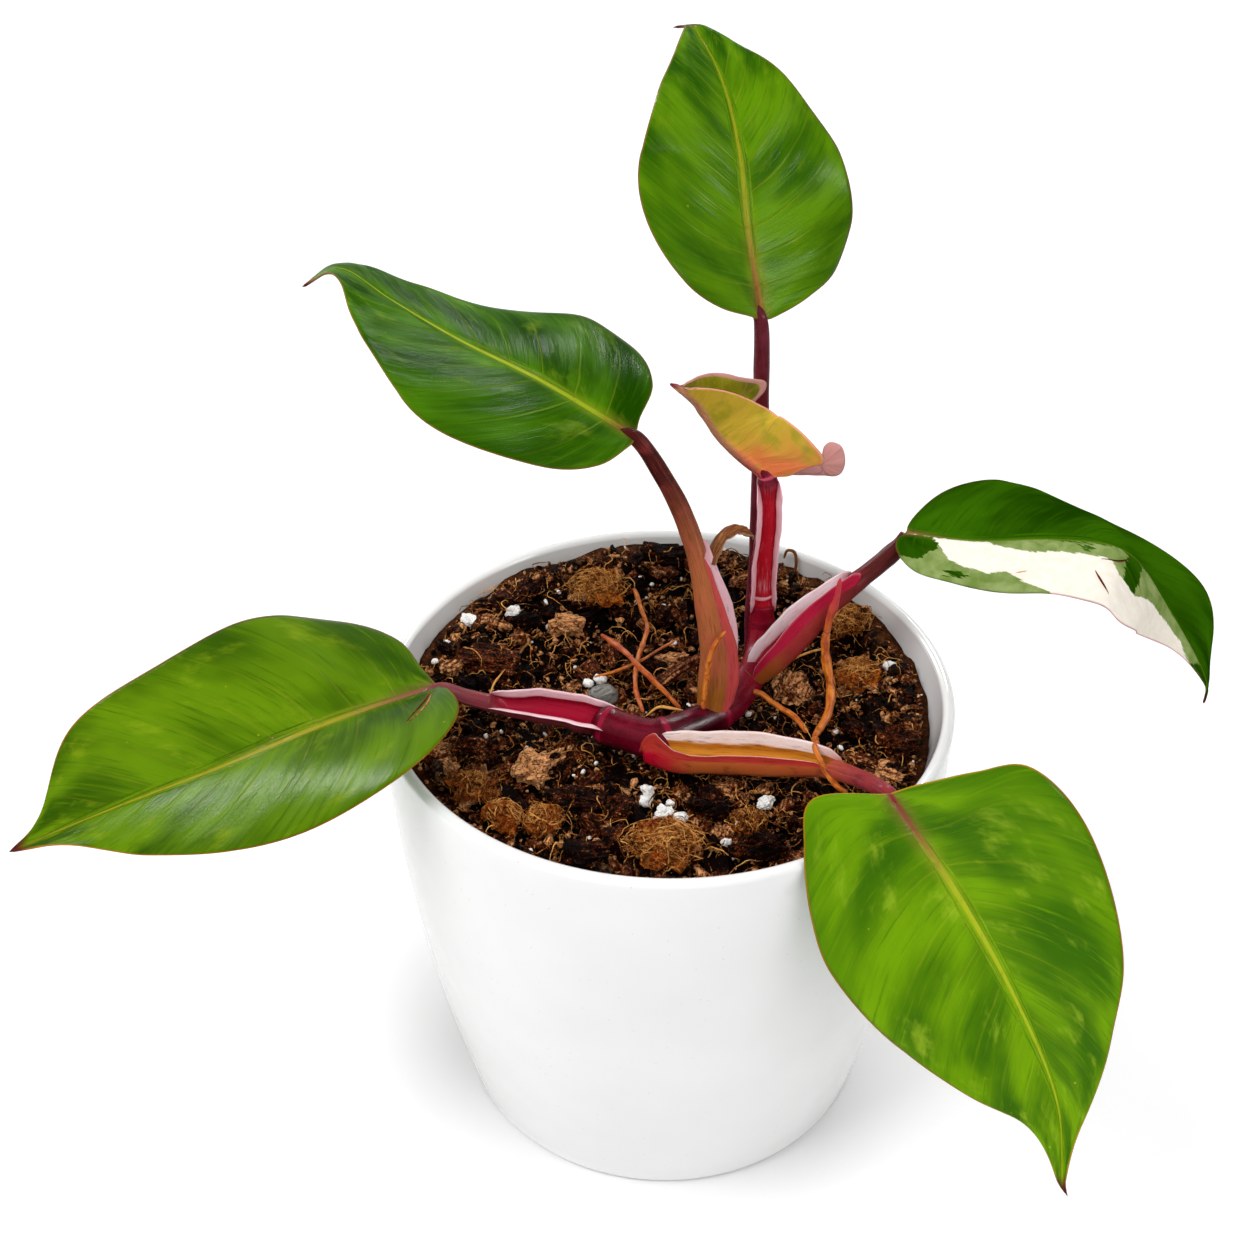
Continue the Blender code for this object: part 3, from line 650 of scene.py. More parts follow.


# %% [markdown]
# ## Finishes of the mix
#
# Bark, coir and crumbs share one idea, and one node group: a tint picks a colour between near-black and
# tan, and streaks run along the grain. Light flecks are painted glints, sharp edges get a painted
# highlight, and hollows get painted shade. Coir gets a net of golden threads too.


# %% Bark grain group
def make_bark_grain():
    shade, given = new_group(
        "bark_grain", Dark="1c110b", Middle="5e3a22", Light="a9744a", Streaks=0.6, Threads=0,
        Thread_colour="c98f45", Cracks=0,
    )
    x, y, z = shade.attribute("grain")
    tint, pick, _ = shade.attribute("tint")
    shift = shade.times(pick, 60)
    along = shade.vector(shade.times(x, 0.16), shade.times(y, 1.1), shade.times(z, 1.1, shift))
    streak = shade.noise(along, scale=0.9, detail=5, roughness=0.62, distortion=0.4)
    grit = shade.noise(scale=1.1, detail=5, roughness=0.68)
    cloud = shade.noise(scale=0.22, detail=3)
    level = shade.stir(shade.stir(shade.stir(tint, streak, given["Streaks"]), cloud, 0.8), grit, 1.6)
    low = shade.mix(shade.step(level, 0.17, 0.58), given["Dark"], given["Middle"])
    base = shade.mix(shade.step(level, 0.55, 0.93), low, given["Light"])
    # Light flecks, where the tint is not darkest: painted glints.
    fleck = shade.noise(scale=2.6, detail=3, roughness=0.6)
    painted_glints = shade.times(shade.step(fleck, 0.58, 0.68, 0, 0.7), shade.step(level, 0.1, 0.6))
    base = shade.mix(painted_glints, base, given["Light"])
    bent = shade.moved(along, cloud, grit, fleck)
    crack = shade.step(shade.cells(bent, 0.8, "DISTANCE_TO_EDGE"), 0, 0.07, 1, 0)
    crack = shade.times(crack, given["Cracks"])
    base = shade.mix(crack, base, given["Dark"])
    # Hollows (low pointiness) are darkened: painted shade. Sharp edges are lightened: a painted highlight.
    sharp = shade.node("ShaderNodeNewGeometry").outputs["Pointiness"]
    base = shade.mix(shade.step(sharp, 0.42, 0.505, 0.9, 0), base, given["Dark"])
    painted_edge_highlight = shade.times(shade.step(sharp, 0.57, 0.68, 0, 0.7), shade.step(grit, 0.45, 0.62))
    base = shade.mix(painted_edge_highlight, base, given["Light"])
    place = shade.moved(shade.place(), cloud, streak, grit)
    net = shade.cells(place, 0.75, "DISTANCE_TO_EDGE")
    finer = shade.cells(place, 1.7, "DISTANCE_TO_EDGE")
    thread = shade.math("MAXIMUM", shade.step(net, 0, 0.07, 1, 0), shade.step(finer, 0, 0.09, 0.7, 0))
    thread = shade.times(thread, shade.times(given["Threads"], shade.step(grit, 0.35, 0.6)))
    base = shade.mix(thread, base, given["Thread colour"])
    relief = shade.times(streak, given["Streaks"], shade.times(grit, 0.9, thread))
    shade.finish(Colour=base, Height=shade.math("SUBTRACT", relief, crack), Gloss=grit)
    return shade.tree


bark_grain = make_bark_grain()
print("bark grain:", len(bark_grain.nodes), "nodes")


def bark_material(name, relief, roughness=(0.62, 0.92), **values):
    shade = new_material(name, Specular_IOR_Level=0.04)
    grain = shade.use(bark_grain, **values)
    dullness = shade.step(grain["Gloss"], 0.35, 0.65, *roughness)
    return shade.surface(grain["Colour"], dullness, grain["Height"], relief, 0.9)


BARK = bark_material(
    "bark_chips", roughness=(0.4, 0.85), Dark="0a0201", Middle="6a2a0c", Light="ffb678", Streaks=1.4,
    Cracks=0.85, relief=1.1,
)
COIR = bark_material(
    "coir_chunks", Dark="160401", Middle="8c3408", Light="f08a2c", Streaks=0.7, Threads=0.9,
    Thread_colour="eca04c", relief=1,
)
BED = bark_material("mix_bed", Dark="050201", Middle="3c1e0c", Light="74421e", Streaks=0.2, relief=0.6)
FIBRE = bark_material("coir_fibres", Dark="2a0e04", Middle="934410", Light="e8aa5c", Streaks=0.4, relief=0.05)


def perlite_material():
    """Puffed volcanic glass: chalk white, full of tiny dark pores, a little dusty."""
    shade = new_material("perlite_white", Specular_IOR_Level=0.4, Subsurface_Weight=0.05)
    place = shade.place()
    pores = shade.step(shade.cells(place, 2.6), 0.10, 0.30)
    dust = shade.step(shade.noise(place, scale=0.8, detail=4), 0.52, 0.76, 0, 0.5)
    white = shade.mix(dust, (0.95, 0.93, 0.90, 1), "b0906e")
    base = shade.mix(pores, "9c8f80", white)
    return shade.surface(base, shade.step(pores, 0, 1, 0.95, 0.7), pores, 0.15, 0.8)


def stone_material():
    """A grey pebble with pale bands and a fine grit."""
    shade = new_material("grey_pebble")
    place = shade.place()
    squeezed = (shade.times(axis, size) for axis, size in zip(shade.attribute("grain"), (0.2, 0.9, 1.6)))
    bands = shade.noise(shade.vector(*squeezed), detail=4, distortion=0.6)
    grit = shade.noise(place, scale=3, detail=3)
    base = shade.ramp(shade.times(grit, 0.25, bands), (0.42, "2d2c29"), (0.62, "5c5a54"), (0.8, "8d8a80"))
    return shade.surface(base, shade.step(grit, 0.3, 0.7, 0.55, 0.8), grit, 0.15, 0.7)


# %% The bed
bed_points, bed_faces = make_bed()
# The bed's near-black tint paints the shade deep in the gaps between the chips. By the wall the tint rises,
# so the bed is less dark there.
dust = 0.5 * np.clip((np.hypot(bed_points[:, 0], bed_points[:, 1]) - 54) / 5, 0, 1)  # by the wall
bed_tint = np.column_stack([0.1 + dust, 0 * dust + 0.5, 0 * dust])
bed = make_piece("mix_bed", bed_points, bed_faces, [BED], "mix", {"grain": bed_points, "tint": bed_tint})
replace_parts(bed, "potting_mix")
print("bed of the mix:", len(bed.data.polygons), "faces")

# %% [markdown]
# ## The large chips
#
# The chips that catch the eye are placed one by one. They stand for the solid model's own lumps, and
# lie half sunk in the bed.

# %% Large chips
LUMPS = {  # x, y, length, width, height, turn in degrees, kind, tint from dark to light
    "bark_tan": (-31, -20.5, 12, 9.5, 7, 20, "bark", 0.95),
    "bark_left": (-45, -28.5, 10, 8, 6, -20, "coir", 0.45),
    "coir_clump_left": (-37, -36.5, 9, 6, 5, -25, "coir", 0.55),
    "coir_clump_mid": (-28, -38, 8.5, 7.5, 5.5, 0, "coir", 0.55),
    "bark_long": (-20.5, -30, 15, 7.5, 5, 3, "bark", 0.22),
    "bark_round": (-11, -32.5, 7, 7, 5, 0, "bark", 0.3),
    "coir_block": (-1, -46, 15.5, 12, 8, 0, "coir", 0.6),
    "bark_edge": (-18, -49, 12.5, 6.5, 5, 12, "bark", 0.15),
    "bark_peak": (9, -31.5, 10, 9, 6.5, 15, "bark", 0.12),
    "bark_dark": (20, -46, 14, 7.5, 5.5, 5, "bark", 0.2),
    "bark_red": (17.5, -37.8, 8, 6.5, 5, 0, "coir", 0.35),
    "bark_far_left": (-45, -14, 12, 8, 5, 0, "bark", 0.35),
    "bark_back_left": (-44, 17, 17, 9, 6, -12, "bark", 0.38),
    "bark_pale": (-25, 33, 9, 7.5, 6, 15, "bark", 0.85),
    "coir_tuft": (-17.5, 44.5, 14, 11, 8, 0, "coir", 0.75),
    "bark_rear": (1, 55, 14, 7.5, 6.5, 0, "bark", 0.12),
    "bark_rear_left": (-34, 44, 12, 6.5, 5, 40, "bark", 0.3),
    "bark_grey": (31, 9.4, 9, 9.5, 7, 70, "bark", 0.75),
    "bark_right": (53, -12.5, 10.5, 10, 6, 20, "bark", 0.28),
    "coir_right": (46.5, 12, 10, 8, 6, 0, "coir", 0.7),
    "bark_tan_right": (50, -25, 7, 5, 4, -30, "bark", 0.8),
    "bark_right_rear": (45.5, 30, 11, 9, 6, 35, "coir", 0.35),
    "grey_stone": (-15.5, 7.6, 8, 7, 5, 30, "stone", 0.5),
    "perlite_front": (22, -30.8, 3.8, 3.2, 3.2, 10, "perlite", 1),
    "perlite_centre": (-1.5, -34.6, 4.4, 3.6, 3.6, 40, "perlite", 1),
    "perlite_near_stem": (-5, -26.4, 3, 2.8, 2.6, 0, "perlite", 1),
    "perlite_left": (-49, 31, 4.4, 3.6, 3.2, 20, "perlite", 1),
    "perlite_rear": (-38, 35.4, 4.2, 3.4, 3, 0, "perlite", 1),
}
KINDS = {  # finish, slot, how rough, depth of the ridges, how boxy, faces broken off
    "bark": (BARK, "bark", 0.26, 0.60, 0.58, 16),
    "coir": (COIR, "coir", 0.42, 0.30, 0.85, 9),
    "stone": (stone_material(), "stone", 0.05, 0, 0.95, 4),
    "perlite": (perlite_material(), "perlite", 0.22, 0, 0.85, 7),
}

for number, (name, (x, y, length, width, height, turn, kind, tint)) in enumerate(LUMPS.items()):
    chance = np.random.default_rng(100 + number)
    material, slot, rough, ridges, boxy, cuts = KINDS[kind]
    own = chunk(chance, (length, width, height), 4, cuts, rough, boxy, ridges)
    lean = turning(math.radians(turn), *chance.uniform(-0.16, 0.16, 2))
    placed = own @ lean.T + (x, y, MIX_TOP + heaped(x, y) + 0.22 * height - 0.3)
    stored = {"grain": own, "tint": np.tile([tint, number / len(LUMPS), 0], (len(own), 1))}
    lump = make_piece(name + "_lump", placed, BALLS[4][1], [material], slot, stored, crease=30)
    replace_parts(lump, name)
print("large chips:", len(LUMPS))

# %% [markdown]
# ## The loose fill
#
# Between the large chips lie smaller ones, crumbs, perlite dust and coir threads. Their places are
# random but fixed by a seed, so that the pot is the same on every run. Anything under the plant's stem
# and stalks is pushed down until it clears them.

# %% Where the plant lies on the mix
STEM_ROUTE = [
    (-17, -6.6, 112.3), (-10, -10.6, 112.3), (-3, -13.2, 112.4), (4, -9.8, 112.3), (10.5, -5.2, 112.2),
    (15.6, 0.4, 112.2), (19.4, 8, 112.4), (22.2, 16, 113.4), (23.3, 22, 117.6), (23.4, 23.5, 124.3),
]
STALK_ROUTES = {
    "stalk_left": [
        (-18.8, -6.4, 112.8), (-23, -5.3, 113.2), (-30, -4.8, 114.2), (-38, -5.5, 115.8),
        (-46, -5.6, 118.2), (-52.7, -6, 121),
    ],
    "stalk_front": [
        (1.5, -20.4, 112.9), (8, -21.4, 113), (14, -22, 113.3), (24, -24.3, 114.4),
        (34, -28.3, 116.6), (41, -38.5, 122), (45.4, -50.6, 128.6),
    ],
    "stalk_upper": [
        (10.8, -3.3, 117.5), (11.2, -0.8, 127.3), (9.4, 1, 138.8), (6.7, 3, 151.4),
        (3.1, 5, 162.3), (-1.2, 6.5, 171), (-7.1, 8, 180.1),
    ],
    "stalk_rear": [
        (22.3, 29.2, 107.9), (22, 29.6, 120), (22.4, 30.7, 131.5), (22.1, 31.6, 149),
        (21.7, 31.2, 166), (21.3, 30.4, 182.5), (20.6, 29.4, 197.7),
    ],
    "stalk_right": [
        (24.9, 9.6, 118), (29.4, 11.6, 121.8), (36, 14, 128.5), (43.4, 16, 134.7),
        (50.4, 18.2, 140), (54.4, 19.6, 143.6),
    ],
    "stalk_new": [(23.4, 23.5, 125), (23.3, 23.5, 137.3), (23.8, 23, 149.1), (23, 21.9, 161.6)],
}
low_routes = [smooth_path(STEM_ROUTE, 40)]
low_routes += [smooth_path(STALK_ROUTES[name], 30) for name in ("stalk_left", "stalk_front")]
resting = np.vstack(low_routes + [[(22.3, 29.2, 112.0)]])


def ceiling(x, y, reach):
    """The highest that something of this reach may rise at a place without touching the plant."""
    apart = np.hypot(resting[:, 0] - x, resting[:, 1] - y)
    near = resting[apart < reach + 4.5, 2]
    return near.min() - 4.9 if len(near) else 999.0


print("the plant lies", round(resting[:, 2].min() - MIX_TOP, 1), "mm above the mix or higher")


# %% Loose chips and crumbs
def scatter(heap, chance, count, sizes, flatness, level, tints, sink, cuts, out=1, **look):
    """Drops chunks of random size, turn and tint on the bed. out is below 1 to crowd them at the wall."""
    for _ in range(count):
        length = sizes[0] + (sizes[1] - sizes[0]) * chance.random() ** 1.8
        size = (length, length * chance.uniform(0.5, 0.9), length * chance.uniform(*flatness))
        distance = (inner_radius(MIX_TOP) - 0.4 - 0.55 * length) * math.sqrt(chance.random()) ** out
        angle = chance.uniform(0, 2 * math.pi)
        x, y = distance * math.cos(angle), distance * math.sin(angle)
        own = chunk(chance, size, level, cuts, **look)
        lean = turning(chance.uniform(0, 2 * math.pi), *chance.normal(0, 0.42, 2))
        placed = own @ lean.T
        height = bed_height(x, y) + sink * size[2]
        height = min(height, ceiling(x, y, length / 2) - placed[:, 2].max())
        tint = tints[0] + (tints[1] - tints[0]) * chance.random() ** 1.7
        heap.add(placed + (x, y, height), BALLS[level][1], own, (tint, chance.random(), 0))


chance = np.random.default_rng(7)
loose = Heap()
look = dict(ridges=0.4, boxy=0.55, rough=0.2)
scatter(loose, chance, 540, (3.2, 9.5), (0.22, 0.55), 3, (0, 0.8), sink=0.6, cuts=14, **look)
loose.finish("loose_bark", BARK, "bark", crease=25)

edging = Heap()
look = dict(ridges=0.4, boxy=0.6, rough=0.25)
scatter(edging, chance, 240, (2.4, 6.5), (0.35, 0.8), 2, (0, 0.9), sink=0.55, cuts=10, out=0.1, **look)
edging.finish("bark_edging", BARK, "bark", crease=25)

crumbs = Heap()
scatter(crumbs, chance, 1500, (1.2, 3.4), (0.25, 0.7), 2, (0, 1.1), sink=1.1, cuts=6, boxy=0.7, rough=0.25)
scatter(crumbs, chance, 3200, (0.5, 1.5), (0.4, 1), 1, (0, 1.3), sink=1.6, cuts=0, boxy=0.7, rough=0.3)
crumbs.finish("mix_crumbs", BARK, "bark", crease=25)

fines = Heap()
PERLITE_PLACES = [
    (15.5, -38), (12.5, -44), (54, 14), (-19, 13.5), (-54, 22),
    (-16, 15), (-2.6, -38.2), (2.6, -35.4), (-5.4, -29.8), (0.4, -30.6),
]
for x, y in PERLITE_PLACES:
    own = chunk(chance, chance.uniform(2.0, 3.6) * np.array([1, 0.85, 0.8]), 3, 6, 0.2, 0.85)
    fines.add(own + (x, y, MIX_TOP + heaped(x, y) + 0.3), BALLS[3][1], own, (1, chance.random(), 0))
scatter(fines, chance, 190, (0.5, 1.9), (0.6, 0.9), 2, (1, 1), sink=2.2, cuts=3, rough=0.2, boxy=0.9)
fines.finish("perlite_fines", KINDS["perlite"][0], "perlite")


# %% Coir fibres
def fibre(heap, path, radius, tint, chance, sides=3):
    """A thin thread through the points of path, thinner at both ends."""
    _, sideways, upward = frames_along(path, (0.3, 0.2, 1))
    count = len(path)
    thick = radius * np.sin(np.linspace(0.25, math.pi - 0.15, count))[:, None]
    across, rise = np.cos(ring_angles(sides)), np.sin(ring_angles(sides))
    rings = rings_along(path, sideways, upward, thick * across, thick * rise)
    travelled = np.linspace(0, 8, count)[:, None]
    grain = np.stack(np.broadcast_arrays(travelled, across, rise), -1)
    faces = np.array(ring_faces(count, sides))
    heap.add(rings.reshape(-1, 3), faces, grain.reshape(-1, 3), (tint, chance.random(), 0))


def curl(chance, start, length, heading, rise):
    """A wandering path over the mix that rises in the middle."""
    count = 9
    steps = shares(count)
    swing = np.sin(steps * chance.uniform(2, 5) + chance.uniform(0, 6)) * chance.uniform(0.2, 1)
    turn = heading + 2.2 * swing
    x = start[0] + np.cumsum(np.cos(turn)) * length / count
    y = start[1] + np.cumsum(np.sin(turn)) * length / count
    return np.column_stack([x, y, start[2] + rise * np.sin(np.pi * steps) + 0.3 * chance.normal(size=count)])


threads = Heap()
for _ in range(900):
    distance, angle = 58 * math.sqrt(chance.random()), chance.uniform(0, 2 * math.pi)
    x, y = distance * math.cos(angle), distance * math.sin(angle)
    start = (x, y, min(bed_height(x, y) + chance.uniform(1.2, 4.2), ceiling(x, y, 3) - 0.5))
    rise = chance.uniform(0, 2.4) if ceiling(x, y, 8) > 500 else 0
    path = curl(chance, start, chance.uniform(3, 13), chance.uniform(0, 6.3), rise)
    reach = np.hypot(path[:, 0], path[:, 1])
    path[:, :2] *= np.minimum(1, 60.5 / reach)[:, None]
    fibre(threads, path, chance.uniform(0.07, 0.2), chance.uniform(0.1, 1.0), chance)

for name, (x, y, length, width, height, turn, kind, tint) in LUMPS.items():
    if kind != "coir":
        continue
    for _ in range(int(1.7 * length * width)):
        heading, tilt = chance.uniform(0, 6.3), chance.uniform(0.1, 1.5)
        flat, high = math.sin(tilt), math.cos(tilt)
        away = np.array([flat * math.cos(heading), flat * math.sin(heading), high])
        side = unit(np.cross(away, chance.normal(size=3)))
        swing = np.linspace(-1, 1, 9)[:, None] * chance.uniform(0.3, 0.9)
        around = unit(away * np.cos(swing) + side * np.sin(swing)) * (length / 2, width / 2, height * 0.55)
        around = around * (1.0 + 0.08 * np.cumsum(chance.normal(size=(9, 3)), axis=0))
        middle = (x, y, MIX_TOP + heaped(x, y) + 0.22 * height - 0.2)
        placed = around @ turning(math.radians(turn)).T + middle
        fibre(threads, placed, chance.uniform(0.06, 0.17), chance.uniform(0.3, 1.0), chance)

LONG_THREADS = {  # radius, tint from dark to light, route
    "pale": (0.28, 1.3, [(-42.7, 3.9, 110.4), (-41.4, 6.4, 113), (-39.9, 7.2, 115), (-38.6, 7.1, 117)]),
    "dark": (0.22, 0.2, [(39.2, 3.2, 117), (41.3, 0.3, 113), (43.6, -5.4, 110), (45.5, -11.7, 107.6)]),
    "behind": (0.32, 0.9, [(27.4, 16.1, 110), (32.8, 18.2, 112.5), (38.5, 21.7, 112), (44.7, 26, 110)]),
    "by_stem": (0.4, 1, [(-5, -1.5, 109.5), (-2.1, -0.8, 111.6), (1.2, -1.5, 111.8), (5.5, -1.4, 110.6)]),
}
for radius, tint, route in LONG_THREADS.values():
    fibre(threads, smooth_path(route, 24), radius, tint, chance, sides=6)
threads.finish("coir_threads", FIBRE, "coir")


# %% [markdown]
# ## The creeping stem
#
# The stem lies on the mix like a bent finger. It is smooth, dark and glossy, and at each joint, where
# a leaf sits, it swells a little and carries a thin pale scar right round it. A curve with a bevel
# would do, but rings of points in code let the joints swell exactly where the leaves are.

# %% Stem
STEM_RADIUS = (4.5, 4.4, 4.6, 4.3, 4.2, 3.9, 3.6, 3.4, 3, 2.9)
STEM_JOINTS = (0.05, 0.25, 0.47, 0.69, 0.93)  # shares of its length
STEM_STATIONS = 150
STEM_SIDES = 40


def tube_rings(path, radius, up, sides):
    """Round rings along a path, and the angle round it of each point."""
    _, sideways, upward = frames_along(path, up)
    angles = np.broadcast_to(ring_angles(sides), (len(path), sides))
    rings = rings_along(path, sideways, upward, radius * np.cos(angles), radius * np.sin(angles))
    return rings, angles


def stem_radius(share, angles):
    thick = spread(STEM_RADIUS, len(share))[:, None]
    joints = sum(bell(share, joint, 0.018) for joint in STEM_JOINTS)[:, None]
    scars = sum(bell(share, joint, 0.0045) for joint in STEM_JOINTS)[:, None]
    ribs = 0.03 * np.sin(angles * 9 + share[:, None] * 4)
    rounding = np.sqrt(np.clip(1 - np.clip(1 - share / 0.05, 0, 1)[:, None] ** 2 * 0.8, 0, 1))
    return (thick + 0.32 * joints - 0.22 * scars + ribs) * rounding


def band(values, rings):
    """One value for each station, given to every point of its ring."""
    return np.broadcast_to(np.asarray(values)[:, None], rings.shape[:2])


# %% [markdown]
# ## Skin of stem and stalks
#
# The skin changes from maroon outside to crimson and pale pink inside the sheaths, with fine streaks
# along the stalk and a pale hem. The mesh stores how far along the stalk a point lies, how high up a
# wing of the sheath, and whether it is inside or outside.


# %% Stalk skin group
def make_stalk_skin():
    shade, given = new_group(
        "stalk_skin", Base="6b1c30", Base_reach=0.1, Body="6d2b33", Top="5a1c26", Flush="9b1f44",
        Inside="a3143a", Pale="f2c4cf", Pale_from=0.3, Mottle=0.3, Blush=0.35, Hem=0.9,
    )
    share, height, outer = shade.attribute("skin")
    around, millimetres, _ = shade.attribute("round")
    place = shade.place()
    lengthwise = shade.vector(shade.times(millimetres, 0.06), shade.times(around, 2.2), height)
    streak = shade.noise(lengthwise, scale=3, detail=4, roughness=0.6)
    cloud = shade.noise(place, scale=0.16, detail=3)
    speck = shade.noise(place, scale=2.4, detail=3, roughness=0.6)
    body = shade.mix(shade.step(share, 0.4, 0.78), given["Body"], given["Top"])
    reach = shade.stir(given["Base reach"], cloud, 0.12)
    body = shade.mix(shade.step(shade.math("DIVIDE", share, reach), 0.4, 1.3, 1, 0), body, given["Base"])
    wing = shade.step(shade.times(streak, 0.3, height), 0.12, 0.5)
    outside = shade.mix(wing, body, given["Flush"])
    outside = shade.mix(shade.times(given["Blush"], shade.step(cloud, 0.45, 0.7)), outside, given["Flush"])
    level = shade.stir(shade.stir(height, streak, 0.35), cloud, 0.25)
    pale_edge = shade.math("SUBTRACT", level, given["Pale from"])
    veined = shade.mix(shade.step(streak, 0.42, 0.7, 0, 0.28), given["Pale"], given["Inside"])
    inside = shade.mix(shade.step(pale_edge, -0.06, 0.12), given["Inside"], veined)
    base = shade.mix(outer, inside, outside)
    base = shade.mix(shade.times(shade.step(height, 0.86, 0.96), given["Hem"]), base, given["Pale"])
    dark = shade.mix(1, base, "6a5a50", "MULTIPLY")
    light = shade.mix(0.3, base, "f0d8c8", "SOFT_LIGHT")
    base = shade.mix(shade.times(given["Mottle"], shade.step(streak, 0.3, 0.52, 1, 0)), base, dark)
    base = shade.mix(shade.times(given["Mottle"], shade.step(streak, 0.55, 0.75)), base, light)
    gloss = shade.times(speck, 0.4, shade.times(cloud, 0.6))
    shade.finish(Colour=base, Height=shade.times(speck, 0.25, streak), Gloss=gloss)
    return shade.tree


stalk_skin = make_stalk_skin()
print("stalk skin:", len(stalk_skin.nodes), "nodes")


def stalk_material(name, roughness=(0.2, 0.36), gloss=0.06, **values):
    shade = new_material(name, Specular_IOR_Level=gloss)
    skin = shade.use(stalk_skin, **values)
    dullness = shade.step(skin["Gloss"], 0.35, 0.65, *roughness)
    return shade.surface(skin["Colour"], dullness, skin["Height"], 0.12, 0.7)


# %% The stem piece
stem_path = smooth_path(STEM_ROUTE, STEM_STATIONS)
stem_share = shares(STEM_STATIONS)
thick = stem_radius(stem_share, ring_angles(STEM_SIDES))
rings, stem_angles = tube_rings(stem_path, thick, (0.13, 0.21, 1), STEM_SIDES)
scar_line = sum(bell(stem_share, joint, 0.006) for joint in STEM_JOINTS)
skin_numbers = np.stack([band(stem_share, rings), band(0.8 * scar_line, rings), np.ones(rings.shape[:2])], -1)
round_numbers = np.stack([np.cos(stem_angles), band(stem_share * 70, rings), np.sin(stem_angles)], -1)
stem_skin = stalk_material(
    "stem_skin", roughness=(0.2, 0.34), gloss=0.1, Base="5c0418", Base_reach=0.3, Body="3c0212", Top="98122a",
    Flush="8c1030", Pale="b05068", Mottle=0.45, Blush=0.4,
)
stem = make_tube("stem_body", rings, stem_skin, "stem", {"skin": skin_numbers, "round": round_numbers})
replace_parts(stem, "creeping_stem")
print("stem:", len(stem.data.polygons), "faces")

# %% [markdown]
# ## Stalks and their sheaths
#
# A stalk is round near its blade. Lower down it opens into a sheath: a trough with two thin wings,
# which once wrapped the next leaf. So the cross-section is drawn once as an outline (body, wing, rim,
# inner face, floor and back), and its wings grow and shrink along the stalk. That keeps the trough and
# the round stalk one seamless closed skin, which separate sheets wouldn't be.


# %% Stalk designs
@dataclass
class Stalk:
    """Lengths in mm. Wings are heights from the base of the sheath to its end."""

    base: list  # where the route starts, inside the stem or the mix
    top: list  # where it ends, in under the blade
    radius: tuple  # from the base to the blade
    opens: tuple  # the way the trough opens
    ends: float = 0  # share of the length at which the sheath ends
    plus: tuple = (0,)  # wing on the side of cross(opens, along)
    minus: tuple = (0,)
    lean: tuple = (0, 0)  # degrees that the rims of the plus and minus wings lean outward
    depth: float = 0.55  # depth of the trough, in radii; below 0 its floor bulges out
    point: tuple = (2, 2)  # how far the rims of both wings run on at the end of the sheath
    hook: tuple = (0, 0)  # how far they curl back over the stem at its base
    scars: tuple = ()  # shares at which a thin pale scar runs round it


BODY_POINTS, WING_POINTS, FLOOR_POINTS = 22, 9, 13
WING_FOOT = math.radians(18)
WING_THICK, RIM_THICK = 0.85, 0.22
STATIONS = 130


def wing_line(height, lean, count):
    """A wing's outer face from its foot upward, and the way out of it, in the cross-section."""
    q = shares(count)
    turn = np.radians(-18 + (lean + 18) * q**0.8)
    step = height / (count - 1)
    middle = (turn[:-1] + turn[1:]) / 2
    rise = np.cumsum(np.column_stack([np.sin(middle), np.cos(middle)]) * step, axis=0)
    return q, np.vstack([(0, 0), rise]), np.column_stack([np.cos(turn), -np.sin(turn)])


def cross_section(radius, opened, heights, leans, depth):
    """The outline as (across, up) points, with (height up the wing, outside or not, place round) of each."""

    def half(side, height, lean):
        q, wing, out = wing_line(height, lean, WING_POINTS)
        foot = radius * math.cos(WING_FOOT), radius * math.sin(WING_FOOT)
        thick = (WING_THICK * (1 - q) + RIM_THICK * q) * opened
        return q, (foot + wing) * (side, 1), (foot + wing - thick[:, None] * out) * (side, 1)

    q, plus_outer, plus_inner = half(1, heights[0], leans[0])
    _, minus_outer, minus_inner = half(-1, heights[1], leans[1])
    body = np.linspace(math.pi + WING_FOOT, 2 * math.pi + WING_FOOT, BODY_POINTS)[1:-1]
    body_line = radius * np.column_stack([np.cos(body), np.sin(body)])
    u = np.linspace(1, -1, FLOOR_POINTS + 2)[1:-1]
    over = math.pi / 2 - u * (math.pi / 2 - WING_FOOT)
    round_top = radius * np.column_stack([np.cos(over), np.sin(over)])
    middle, reach = (plus_inner[0] + minus_inner[0]) / 2, (plus_inner[0] - minus_inner[0]) / 2
    trough = middle + u[:, None] * reach - np.column_stack([0 * u, depth * radius * (1 - u**2)])
    floor = round_top * (1 - opened) + trough * opened
    outline = np.vstack([minus_outer[::-1], body_line, plus_outer, plus_inner[::-1], floor, minus_inner])
    rise = np.concatenate([q[::-1], 0 * body, q, q[::-1], 0 * u, q])
    outside = np.ones(len(rise))
    outside[2 * WING_POINTS + len(body) :] -= opened
    round_body = np.linspace(-1.5, 1.5, len(body))
    place = np.concatenate([-1.6 - q[::-1], round_body, 1.6 + q, 1.6 + q[::-1], u, -1.6 - q])
    return outline, rise, outside, place


